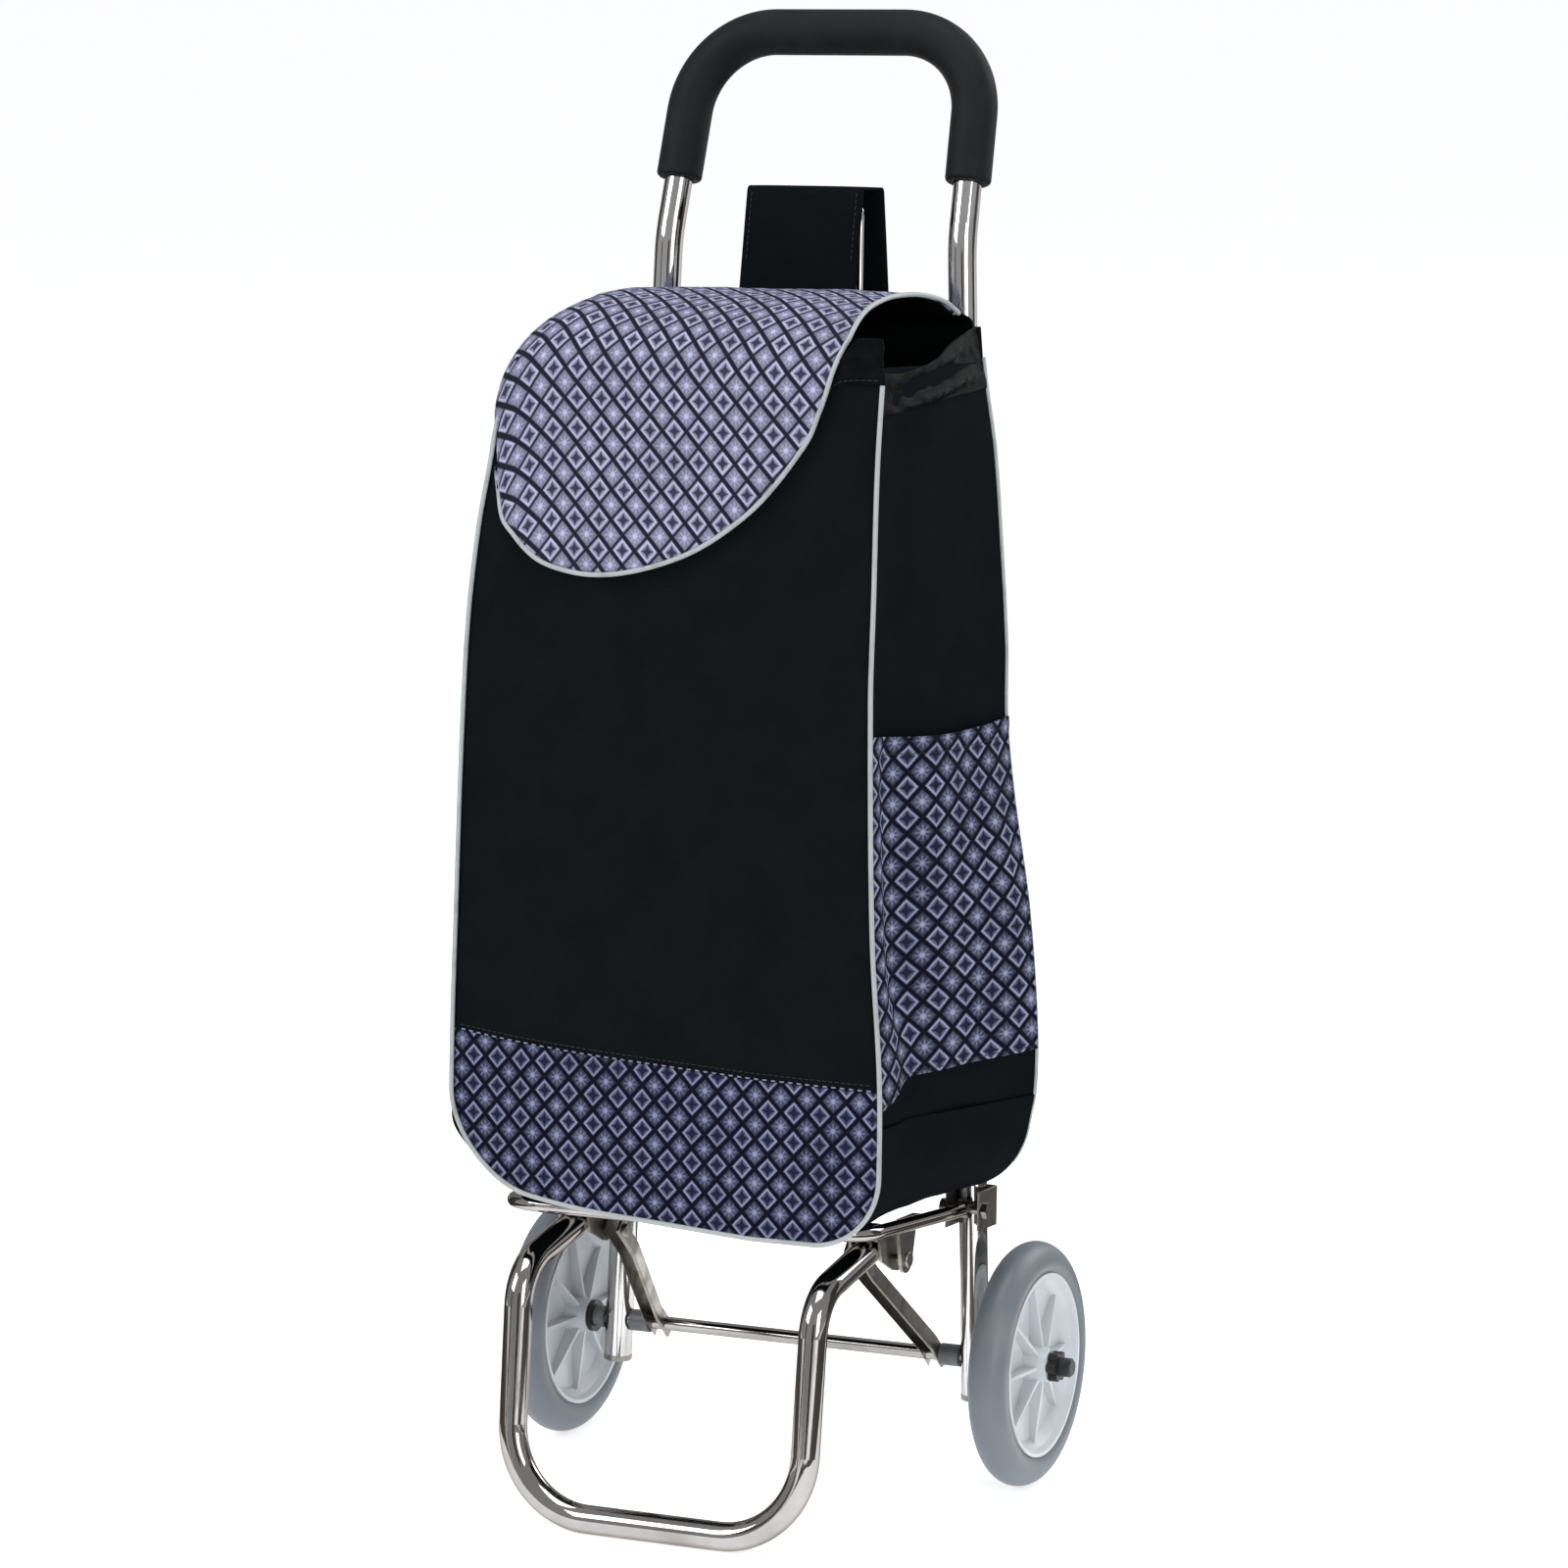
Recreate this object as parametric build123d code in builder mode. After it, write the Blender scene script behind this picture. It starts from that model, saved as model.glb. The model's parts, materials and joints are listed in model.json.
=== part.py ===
from build123d import *
import math
import os

os.makedirs("parts", exist_ok=True)

# ---------------------------------------------------------------- driving dimensions (mm)
WHEEL_R = 82.5            # rolling radius, and the axle's height over the floor
Y_AXLE = 60.5             # axle behind the middle of the overall depth
LEAN = 3.7                # backward lean of the uprights and the bag, degrees

TUBE_R = 9.5              # bent chrome tube
TUBE_WALL = 1.2
HALF_AXLE = 134.0         # half-spacing of the uprights at the axle
TAPER = 0.0346            # each upright leans inwards by this much per mm of height
UP_LOW = -25.0            # lower end of the uprights, along the lean from the axle
UP_BEND = 748.0           # where the handle leans back
TOP_V, TOP_W = 38.0, 888.0   # handle's top centreline behind and above the axle
TOP_X = 103.3             # half-spacing of the corners of the handle
TOP_BEND_R = 58.0
BACK_BEND_R = 90.0
FOAM_R = 15.5
FOAM_START = 788.0

AXLE_R = 4.75
WHEEL_X = 172.5           # wheel mid-plane
TYRE_R = 13.2             # tyre section
RIM_R = 62.0
HUB_R = 11.0
HUB_HALF = 17.0
BORE_R = 6.0
RIBS = 8
SLEEVE_R = 7.5

PIVOT_V, PIVOT_W = -16.0, 104.0      # tray pivot on the sliding brackets
FOOT_V, FOOT_W = -97.5, 82.4         # pivot of foot and struts under the tray
ROD_R = 4.75                         # tray rod
RAIL_X = 131.0
FOOT_X = 107.0            # half-spacing of the foot's legs
STRUT_LOW_X = 103.5       # strut ends: on the axle, and beside the foot's brackets
STRUT_TOP_X = 88.8

BAG_FRONT = -200.5        # outer faces of the bag, across the lean
BAG_BACK = -11.0
BAG_LOW = 119.0           # underside of the bag's floor
PANEL_LOW = 103.0         # lower edge of the front panel
FRONT_TOP = 671.0
BACK_TOP = 694.0
CLOTH = 2.5               # walls of the bag
CORNER_R = 50.0           # lower corners of the front panel
FLOOR_R = 42.0            # lower corners of the floor and the back panel
BAND_TOP = 222.0          # top of the printed band on the front
FOLD_V = -150.0           # where each side panel folds, behind the front edge
# height, then half-widths of the bag at the front edge, at the fold and at the back edge
SIDES = [(163.0, 150.0, 155.7, 172.0), (240.0, 151.0, 150.0, 177.0), (330.0, 150.5, 149.5, 166.0),
         (480.0, 148.0, 147.0, 150.5), (600.0, 143.0, 142.0, 140.5), (671.0, 140.0, 139.0, 131.0)]
AT_FRONT, AT_FOLD, AT_BACK = 1, 2, 3
POCKET_LOW, POCKET_TOP = 205.0, 440.0
POCKET_GAP = 10.0

LID_HINGE_V, LID_HINGE_W = -33.0, 703.0
PIPE_R = 1.8

SIN, COS = math.sin(math.radians(LEAN)), math.cos(math.radians(LEAN))
BASE = Plane(origin=(0, Y_AXLE, WHEEL_R), x_dir=(1, 0, 0), z_dir=(0, SIN, COS))


def at(x, v, w):
    """World point from the leaning frame's coordinates: across, back, up the uprights."""
    return BASE.from_local_coords(Vector(x, v, w))


def facing_x(x, v=0.0, w=0.0):
    """Plane across X whose own x runs backwards and whose own y runs up the uprights."""
    return Plane(origin=at(x, v, w), x_dir=(0, COS, -SIN), z_dir=(1, 0, 0))


def facing_y(v):
    """Plane square to the depth; its own x is -X and its own y runs up, so its normal is back."""
    return Plane(origin=at(0, v, 0), x_dir=(-1, 0, 0), z_dir=(0, COS, -SIN))


def facing_w(w):
    """Plane square to the uprights at a height."""
    return Plane(origin=at(0, 0, w), x_dir=(1, 0, 0), z_dir=(0, SIN, COS))


def upright_x(w):
    """Distance of an upright's centreline from the middle, at a height."""
    return HALF_AXLE - TAPER * w


def save(part, label):
    part.label = label
    export_step(part, f"parts/{label}.step")


def rounded_path(points, radii):
    """Wire through the points, with a tangent arc of each radius at each inner point."""
    pts = [Vector(*p) if not isinstance(p, Vector) else p for p in points]
    edges = []
    last = pts[0]
    for i, r in enumerate(radii, start=1):
        a = (pts[i - 1] - pts[i]).normalized()
        b = (pts[i + 1] - pts[i]).normalized()
        half = math.radians(a.get_angle(b)) / 2
        d = r / math.tan(half)
        start, end = pts[i] + a * d, pts[i] + b * d
        centre = pts[i] + (a + b).normalized() * (r / math.sin(half))
        mid = centre + (pts[i] - centre).normalized() * r
        edges.append(Line(last, start))
        edges.append(ThreePointArc(start, mid, end))
        last = end
    edges.append(Line(last, pts[-1]))
    return Wire(edges)


def swept(path, outer, inner=0.0):
    """Round bar or tube along a path."""
    with BuildPart() as bar:
        with BuildSketch(Plane(origin=path @ 0, z_dir=path % 0)):
            Circle(outer)
            if inner:
                Circle(inner, mode=Mode.SUBTRACT)
        sweep(path=path)
    return bar.part


def cylinder_x(x0, x1, v, w, outer, inner=0.0):
    """Round piece along X between two stations."""
    with BuildPart() as piece:
        with BuildSketch(facing_x(x0, v, w)):
            Circle(outer)
            if inner:
                Circle(inner, mode=Mode.SUBTRACT)
        extrude(amount=x1 - x0)
    return piece.part


def group(parts):
    return Compound(children=list(parts))


# ---------------------------------------------------------------- handle and uprights
x_low, x_bend = upright_x(UP_LOW), upright_x(UP_BEND)
frame_points = [at(-x_low, 0, UP_LOW), at(-x_bend, 0, UP_BEND), at(-TOP_X, TOP_V, TOP_W),
                at(TOP_X, TOP_V, TOP_W), at(x_bend, 0, UP_BEND), at(x_low, 0, UP_LOW)]
frame_path = rounded_path(frame_points, [BACK_BEND_R, TOP_BEND_R, TOP_BEND_R, BACK_BEND_R])

with BuildPart() as handle_frame:
    with BuildSketch(Plane(origin=frame_path @ 0, z_dir=frame_path % 0)):
        Circle(TUBE_R)
        Circle(TUBE_R - TUBE_WALL, mode=Mode.SUBTRACT)
    sweep(path=frame_path)
    with BuildSketch(facing_x(-HALF_AXLE - 20)):
        Circle(AXLE_R + 0.05)
    extrude(amount=2 * HALF_AXLE + 40, mode=Mode.SUBTRACT)
save(handle_frame.part, "handle_frame")

# foam sleeve over the top of the handle
t_foam = (FOAM_START - UP_BEND) / (TOP_W - UP_BEND)
foam_x = x_bend + (TOP_X - x_bend) * t_foam
foam_points = [at(-foam_x, TOP_V * t_foam, FOAM_START), at(-TOP_X, TOP_V, TOP_W),
               at(TOP_X, TOP_V, TOP_W), at(foam_x, TOP_V * t_foam, FOAM_START)]
foam_path = rounded_path(foam_points, [TOP_BEND_R, TOP_BEND_R])
with BuildPart() as foam_grip:
    with BuildSketch(Plane(origin=foam_path @ 0, z_dir=foam_path % 0)):
        Circle(FOAM_R)
        Circle(TUBE_R + 0.02, mode=Mode.SUBTRACT)
    sweep(path=foam_path)
    fillet(foam_grip.edges().filter_by(GeomType.CIRCLE).filter_by(
        lambda e: abs(e.radius - FOAM_R) < 0.01 and abs(e.length - 2 * math.pi * FOAM_R) < 0.5), 3.0)
save(foam_grip.part, "foam_grip")

# plugs in the open lower ends of the uprights
plugs = []
for side in (-1, 1):
    foot = at(side * x_low, 0, UP_LOW)
    along = (at(side * x_bend, 0, UP_BEND) - foot).normalized()
    with BuildPart() as plug:
        with BuildSketch(Plane(origin=foot - along * 4.0, z_dir=along)):
            Circle(TUBE_R + 0.4)
        extrude(amount=4.0)
        chamfer(plug.edges().group_by(Axis.Z)[0], 1.0)
        with BuildSketch(Plane(origin=foot, z_dir=along)):
            Circle(TUBE_R - TUBE_WALL - 0.02)
        extrude(amount=12.0)
    plugs.append(plug.part)
save(group(plugs), "upright_plugs")

# crossbar between the uprights behind the bag's rim, with the hoop the bag hangs from
BAR_W = 704.5
bar_half = upright_x(BAR_W) - TUBE_R
with BuildPart() as crossbar:
    with BuildSketch(facing_x(-bar_half + 0.3, 0, BAR_W)):
        Circle(6.0)
        Circle(5.0, mode=Mode.SUBTRACT)
    extrude(amount=2 * bar_half - 0.6)
save(crossbar.part, "crossbar")

hoop_points = [at(-34, 0, BAR_W + 6), at(-34, 0, 779), at(34, 0, 779),
               at(34, 0, BAR_W + 6)]
with BuildPart() as hanger_hoop:
    add(swept(rounded_path(hoop_points, [14.0, 14.0]), 2.5))
save(hanger_hoop.part, "hanger_hoop")

# ---------------------------------------------------------------- axle and what is on it
save(cylinder_x(-197.0, 197.0, 0, 0, AXLE_R), "axle")

sleeves_in, sleeves_out, washers, caps = [], [], [], []
for side in (-1, 1):
    def lane(a, b, outer, inner):
        lo, hi = sorted((side * a, side * b))
        return cylinder_x(lo, hi, 0, 0, outer, inner)
    inner_face = upright_x(0) - TUBE_R
    sleeves_in.append(lane(STRUT_LOW_X + 6.4, inner_face - 0.6, SLEEVE_R, AXLE_R + 0.05))
    sleeves_out.append(lane(upright_x(0) + TUBE_R + 0.4, 151.5, SLEEVE_R, AXLE_R + 0.05))
    washers.append(lane(151.6, 154.9, 11.0, AXLE_R + 0.05))
    with BuildPart() as cap:
        add(lane(190.2, 196.5, 8.0, 0.0))
        with BuildSketch(facing_x(side * 190.2)):
            with PolarLocations(7.2, 6):
                Circle(3.4)
        extrude(amount=side * 6.3)
        add(lane(196.5, 205.0, 6.4, 0.0))
        chamfer(cap.faces().sort_by(Axis.X)[-1 if side > 0 else 0].edges(), 1.2)
        add(lane(190.0, 197.05, AXLE_R + 0.01, 0.0), mode=Mode.SUBTRACT)
    caps.append(cap.part)
save(group(sleeves_in), "inner_sleeves")
save(group(sleeves_out), "outer_sleeves")
save(group(washers), "axle_washers")
save(group(caps), "hub_caps")

# ---------------------------------------------------------------- wheels
CARCASS_R = WHEEL_R - TYRE_R
for side, name in ((-1, "left"), (1, "right")):
    mid = side * WHEEL_X
    wheel_axis = Axis(at(0, 0, 0), (1, 0, 0))
    section = Plane(origin=at(mid, 0, 0), x_dir=(1, 0, 0), z_dir=(0, -1, 0))
    with BuildPart() as tyre:
        with BuildSketch(section):
            with Locations((0, CARCASS_R)):
                Circle(TYRE_R)
            with Locations((0, RIM_R / 2)):
                Rectangle(60, RIM_R, mode=Mode.SUBTRACT)
        revolve(axis=wheel_axis)
    save(tyre.part, f"tyre_{name}")

    seat = RIM_R - 0.05
    with BuildPart() as rim:
        with BuildSketch(section):
            with BuildLine():
                Polyline((-12.5, seat), (12.5, seat), (12.5, seat - 2.4), (8.5, seat - 4.5),
                         (1.6, seat - 10.0), (1.6, HUB_R + 3), (HUB_HALF, HUB_R),
                         (HUB_HALF, BORE_R + 2), (-HUB_HALF, BORE_R + 2), (-HUB_HALF, HUB_R),
                         (-1.6, HUB_R + 3), (-1.6, seat - 10.0), (-8.5, seat - 4.5),
                         (-12.5, seat - 2.4), (-12.5, seat))
            make_face()
        revolve(axis=wheel_axis)
        # radial ribs on both faces of the web, deepest at the hub
        for turn in range(RIBS):
            with BuildSketch(Plane(origin=at(mid, 0, 0), x_dir=(1, 0, 0),
                                   z_dir=(0, -1, 0)).rotated((360 * turn / RIBS, 0, 0))):
                with BuildLine():
                    Polyline((-12.0, HUB_R - 2), (12.0, HUB_R - 2), (5.2, seat - 8.0),
                             (-5.2, seat - 8.0), (-12.0, HUB_R - 2))
                make_face()
            extrude(amount=1.2, both=True)
    save(rim.part, f"rim_{name}")
    save(cylinder_x(mid - HUB_HALF, mid + HUB_HALF, 0, 0, BORE_R + 1.98, AXLE_R + 0.05),
         f"bush_{name}")

# ---------------------------------------------------------------- sliding brackets
STRAP = 2.0
STRAP_HALF_H = 13.0
TRAVEL_W = 64.0           # how far the brackets slide down when the tray folds
tube_rest = upright_x(PIVOT_W)
slot_in = tube_rest - TUBE_R - 0.7
slot_out = tube_rest + TUBE_R + TAPER * TRAVEL_W + 0.7
slot_v = TUBE_R + 0.25
for side, name in ((-1, "left"), (1, "right")):
    mid_x = side * (slot_in + slot_out) / 2
    wide = slot_out - slot_in
    with BuildPart() as bracket:
        with BuildSketch(facing_w(PIVOT_W - STRAP_HALF_H)):
            with Locations((mid_x, -6.0)):
                RectangleRounded(wide + 2 * STRAP, 2 * slot_v + 2 * STRAP + 12.0, 6.0)
            with Locations((mid_x, -13.0)):
                Rectangle(wide, 2 * slot_v + 20.0, mode=Mode.SUBTRACT)
            with Locations((mid_x, 0)):
                Rectangle(wide, 2 * slot_v, mode=Mode.SUBTRACT)
        extrude(amount=2 * STRAP_HALF_H)
        with BuildSketch(facing_x(min(side * slot_in, side * slot_out) - 10, PIVOT_V, PIVOT_W)):
            Circle(3.05)
        extrude(amount=wide + 20, mode=Mode.SUBTRACT)
    save(bracket.part, f"bracket_{name}")

bolts = []
for side in (-1, 1):
    lo, hi = sorted((side * (slot_in - STRAP), side * (slot_out + STRAP)))
    with BuildPart() as bolt:
        add(cylinder_x(lo - 3.4, hi + 3.4, PIVOT_V, PIVOT_W, 3.0))
        with BuildSketch(facing_x(lo - 3.5, PIVOT_V, PIVOT_W)):
            Circle(6.0)
        extrude(amount=3.4)
        with BuildSketch(facing_x(hi + 0.1, PIVOT_V, PIVOT_W)):
            RegularPolygon(5.8, 6)
        extrude(amount=3.6)
    bolts.append(bolt.part)
save(group(bolts), "bracket_bolts")

# ---------------------------------------------------------------- tray
TRAY_FRONT, TRAY_FRONT_W = -189.0, 112.5
EYE_R, BOLT_R = 6.0, 3.0
rail_start = PIVOT_V - EYE_R + 1.0
tray_points = [at(-RAIL_X, rail_start, PIVOT_W), at(-RAIL_X, TRAY_FRONT, TRAY_FRONT_W),
               at(RAIL_X, TRAY_FRONT, TRAY_FRONT_W), at(RAIL_X, rail_start, PIVOT_W)]
with BuildPart() as tray_rod:
    add(swept(rounded_path(tray_points, [30.0, 30.0]), ROD_R))
    with BuildSketch(facing_x(-RAIL_X - 10, PIVOT_V, PIVOT_W)):
        Circle(EYE_R)
    extrude(amount=2 * RAIL_X + 20, mode=Mode.SUBTRACT)
save(tray_rod.part, "tray_rod")

# eyes at the ends of the rails, turning on the bracket bolts
eyes = []
for side in (-1, 1):
    lo, hi = sorted((side * (RAIL_X - 4.0), side * (RAIL_X + 4.0)))
    eyes.append(cylinder_x(lo, hi, PIVOT_V, PIVOT_W, EYE_R, BOLT_R + 0.05))
save(group(eyes), "tray_eyes")

# cross rod that lies on the foot's arms and stops them
CROSS_V, CROSS_W, CROSS_R = -128.0, 106.6, 4.0
cross_half = RAIL_X - ROD_R
with BuildPart() as tray_cross:
    with BuildSketch(facing_x(-cross_half - 1.5, CROSS_V, CROSS_W)):
        Circle(CROSS_R)
    extrude(amount=2 * cross_half + 3.0)
    add(tray_rod.part, mode=Mode.SUBTRACT)
save(tray_cross.part.solids().sort_by(SortBy.VOLUME)[-1], "tray_cross")

# hanging plates under the rails that carry the foot's pivots
HANG_X, HANG_T = 122.6, 2.5
hangers = []
for side in (-1, 1):
    lo, hi = sorted((side * HANG_X, side * (HANG_X + HANG_T)))
    with BuildPart() as hanger:
        with BuildSketch(facing_x(lo)):
            with BuildLine():
                Polyline((FOOT_V - 9, FOOT_W), (FOOT_V - 16, 110.5), (FOOT_V + 16, 109.0),
                         (FOOT_V + 9, FOOT_W), (FOOT_V - 9, FOOT_W))
            make_face()
            with Locations((FOOT_V, FOOT_W)):
                Circle(9.0)
            with Locations((FOOT_V, FOOT_W)):
                Circle(BOLT_R + 0.05, mode=Mode.SUBTRACT)
        extrude(amount=hi - lo)
        inner, outer = sorted((side * HANG_X, side * RAIL_X))
        with BuildSketch(facing_x(inner)):
            with Locations((FOOT_V, 110.0)):
                Rectangle(28.0, 2.5)
        extrude(amount=outer - inner)
        add(tray_rod.part, mode=Mode.SUBTRACT)
        add(tray_cross.part, mode=Mode.SUBTRACT)
    hangers.append(hanger.part.solids().sort_by(SortBy.VOLUME)[-1])
save(group(hangers), "tray_hangers")

# ---------------------------------------------------------------- front foot
FOOT_BAR_V, FOOT_BAR_W = -217.0, -87.2
ARM_END_V, ARM_END_W = -108.0, 93.5
foot_points = [at(-FOOT_X, ARM_END_V, ARM_END_W), at(-FOOT_X, -203.0, 72.0),
               at(-FOOT_X + 1.5, FOOT_BAR_V, FOOT_BAR_W), at(FOOT_X - 1.5, FOOT_BAR_V, FOOT_BAR_W),
               at(FOOT_X, -203.0, 72.0), at(FOOT_X, ARM_END_V, ARM_END_W)]
foot_path = rounded_path(foot_points, [34.0, 58.0, 58.0, 34.0])
with BuildPart() as foot_tube:
    with BuildSketch(Plane(origin=foot_path @ 0, z_dir=foot_path % 0)):
        Circle(TUBE_R)
        Circle(TUBE_R - TUBE_WALL, mode=Mode.SUBTRACT)
    sweep(path=foot_path)
save(foot_tube.part, "foot_tube")

# pressed brackets that straddle the ends of the foot's arms, and their pivot pins
CHEEK = 2.0
brackets, pins, tips = [], [], []
for side in (-1, 1):
    arm = at(side * FOOT_X, ARM_END_V, ARM_END_W)
    ahead = (at(side * FOOT_X, -203.0, 72.0) - arm).normalized()
    with BuildPart() as foot_bracket:
        for a in (TUBE_R + 0.05, -TUBE_R - 0.05 - CHEEK):
            lo = side * FOOT_X + a
            with BuildSketch(facing_x(lo)):
                with BuildLine():
                    Polyline((FOOT_V + 8, FOOT_W), (FOOT_V - 2, ARM_END_W + TUBE_R + CHEEK),
                             (FOOT_V - 30, ARM_END_W + TUBE_R + CHEEK - 5),
                             (FOOT_V - 26, ARM_END_W - 9), (FOOT_V - 6, FOOT_W - 7),
                             (FOOT_V + 8, FOOT_W))
                make_face()
                with Locations((FOOT_V, FOOT_W)):
                    Circle(8.0)
                with Locations((FOOT_V, FOOT_W)):
                    Circle(BOLT_R, mode=Mode.SUBTRACT)
            extrude(amount=CHEEK)
        with BuildSketch(facing_x(side * FOOT_X - TUBE_R - 0.05)):
            with BuildLine():
                Polyline((FOOT_V - 2, ARM_END_W + TUBE_R + CHEEK), (FOOT_V - 2, ARM_END_W + TUBE_R + 0.5),
                         (FOOT_V - 29, ARM_END_W + TUBE_R - 5.2),
                         (FOOT_V - 30, ARM_END_W + TUBE_R + CHEEK - 5),
                         (FOOT_V - 2, ARM_END_W + TUBE_R + CHEEK))
            make_face()
        extrude(amount=2 * TUBE_R + 0.1)
        with BuildSketch(Plane(origin=arm - ahead * 12, z_dir=ahead)):
            Circle(TUBE_R)
        extrude(amount=60, mode=Mode.SUBTRACT)
    brackets.append(foot_bracket.part)
    lo, hi = sorted((side * (FOOT_X - TUBE_R - CHEEK - 0.05), side * (HANG_X + HANG_T + 0.1)))
    with BuildPart() as pin:
        add(cylinder_x(lo, hi, FOOT_V, FOOT_W, BOLT_R))
        head_lo = hi if side > 0 else lo - 2.4
        with BuildSketch(facing_x(head_lo, FOOT_V, FOOT_W)):
            Circle(5.5)
        extrude(amount=2.4)
        fillet(pin.faces().sort_by(Axis.X)[-1 if side > 0 else 0].edges(), 1.4)
    pins.append(pin.part)
    with BuildPart() as tip:
        with BuildSketch(Plane(origin=arm, z_dir=-ahead)):
            Circle(TUBE_R - 0.2)
        extrude(amount=2.0)
        with BuildSketch(Plane(origin=arm, z_dir=ahead)):
            Circle(TUBE_R - TUBE_WALL - 0.02)
        extrude(amount=8.0)
    tips.append(tip.part)
save(group(brackets), "foot_brackets")
save(group(pins), "foot_pins")
save(group(tips), "foot_plugs")

# ---------------------------------------------------------------- struts
STRUT_WIDE, STRUT_DEEP, STRUT_T = 12.0, 12.0, 1.6
for side, name in ((-1, "left"), (1, "right")):
    low, top = at(side * STRUT_LOW_X, 0, 0), at(side * STRUT_TOP_X, FOOT_V, FOOT_W)
    unit = (at(0, FOOT_V, FOOT_W) - at(0, 0, 0)).normalized()
    spine = [low - unit * 9.0, low + unit * 14, top - unit * 24, top + unit * 8.0]
    spine_path = rounded_path(spine, [30.0, 30.0])
    with BuildPart() as strut:
        with BuildSketch(Plane(origin=spine[0], x_dir=(1, 0, 0), z_dir=unit)):
            RectangleRounded(STRUT_WIDE, STRUT_DEEP, 2.0)
            with Locations((0, -STRUT_T)):
                Rectangle(STRUT_WIDE - 2 * STRUT_T, STRUT_DEEP, mode=Mode.SUBTRACT)
        sweep(path=spine_path)
        with BuildSketch(facing_x(side * STRUT_LOW_X - 20)):
            Circle(AXLE_R + 0.05)
        extrude(amount=40, mode=Mode.SUBTRACT)
    save(strut.part, f"strut_{name}")

rivets = []
for side in (-1, 1):
    face = side * (STRUT_TOP_X - STRUT_WIDE / 2)
    lo = face if side < 0 else face - 2.2
    with BuildPart() as rivet:
        with BuildSketch(facing_x(lo, FOOT_V, FOOT_W)):
            Circle(4.5)
        extrude(amount=2.2)
        fillet(rivet.faces().sort_by(Axis.X)[0 if side > 0 else -1].edges(), 1.2)
    rivets.append(rivet.part)
save(group(rivets), "strut_rivets")

# ---------------------------------------------------------------- bag
INNER_FRONT = BAG_FRONT + CLOTH
INNER_BACK = BAG_BACK - CLOTH


def outline(column, low, top, corner, top_half):
    """Closed outline of a flat panel: tapered sides and rounded lower corners."""
    seam_w, half = SIDES[0][0], SIDES[0][column]
    right = [(row[column], row[0]) for row in SIDES[1:] if row[0] < top] + [(top_half, top)]
    pts = [(-x, w) for x, w in reversed(right)] + [(-half, seam_w)]
    with BuildSketch() as flat:
        with BuildLine():
            Polyline(*pts, (-half, low + corner))
            RadiusArc((-half, low + corner), (-half + corner, low), -corner)
            Line((-half + corner, low), (half - corner, low))
            RadiusArc((half - corner, low), (half, low + corner), -corner)
            Polyline((half, low + corner), (half, seam_w), *right, pts[0])
        make_face()
    return flat.sketch


front_outline = outline(AT_FRONT, PANEL_LOW, FRONT_TOP, CORNER_R, 140.0)
back_outline = outline(AT_BACK, BAG_LOW, BACK_TOP, FLOOR_R, 128.0)

with BuildPart() as bag_front_panel:
    with BuildSketch(facing_y(BAG_FRONT)):
        add(front_outline)
        with Locations((0, BAND_TOP - 200)):
            Rectangle(400, 400, mode=Mode.SUBTRACT)
    extrude(amount=CLOTH)
save(bag_front_panel.part, "bag_front_panel")

with BuildPart() as bag_front_band:
    with BuildSketch(facing_y(BAG_FRONT)):
        add(front_outline)
        with Locations((0, BAND_TOP + 300)):
            Rectangle(400, 600, mode=Mode.SUBTRACT)
    extrude(amount=CLOTH)
save(bag_front_band.part, "bag_front_band")

with BuildPart() as bag_back_panel:
    with BuildSketch(facing_y(BAG_BACK - CLOTH)):
        add(back_outline)
    extrude(amount=CLOTH)
save(bag_back_panel.part, "bag_back_panel")


def side_half(v, w):
    """Half-width of the bag's outside at a depth and a height."""
    for low, high in zip(SIDES, SIDES[1:]):
        if low[0] <= w <= high[0]:
            t = (w - low[0]) / (high[0] - low[0])
            front, fold, back = (low[k] + t * (high[k] - low[k]) for k in (AT_FRONT, AT_FOLD, AT_BACK))
            break
    if v <= FOLD_V:
        return front + (fold - front) * (v - INNER_FRONT) / (FOLD_V - INNER_FRONT)
    return fold + (back - fold) * (v - FOLD_V) / (INNER_BACK - FOLD_V)


for side, name in ((-1, "left"), (1, "right")):
    with BuildPart() as bag_side:
        for w, *_ in SIDES:
            depths = (INNER_FRONT, FOLD_V, INNER_BACK)
            outer = [(side * side_half(v, w), v) for v in depths]
            inner = [(side * (side_half(v, w) - CLOTH), v) for v in reversed(depths)]
            with BuildSketch(facing_w(w)):
                with BuildLine():
                    Polyline(*outer, *inner, outer[0])
                make_face()
        loft(ruled=True)
    save(bag_side.part, f"bag_side_{name}")

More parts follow.
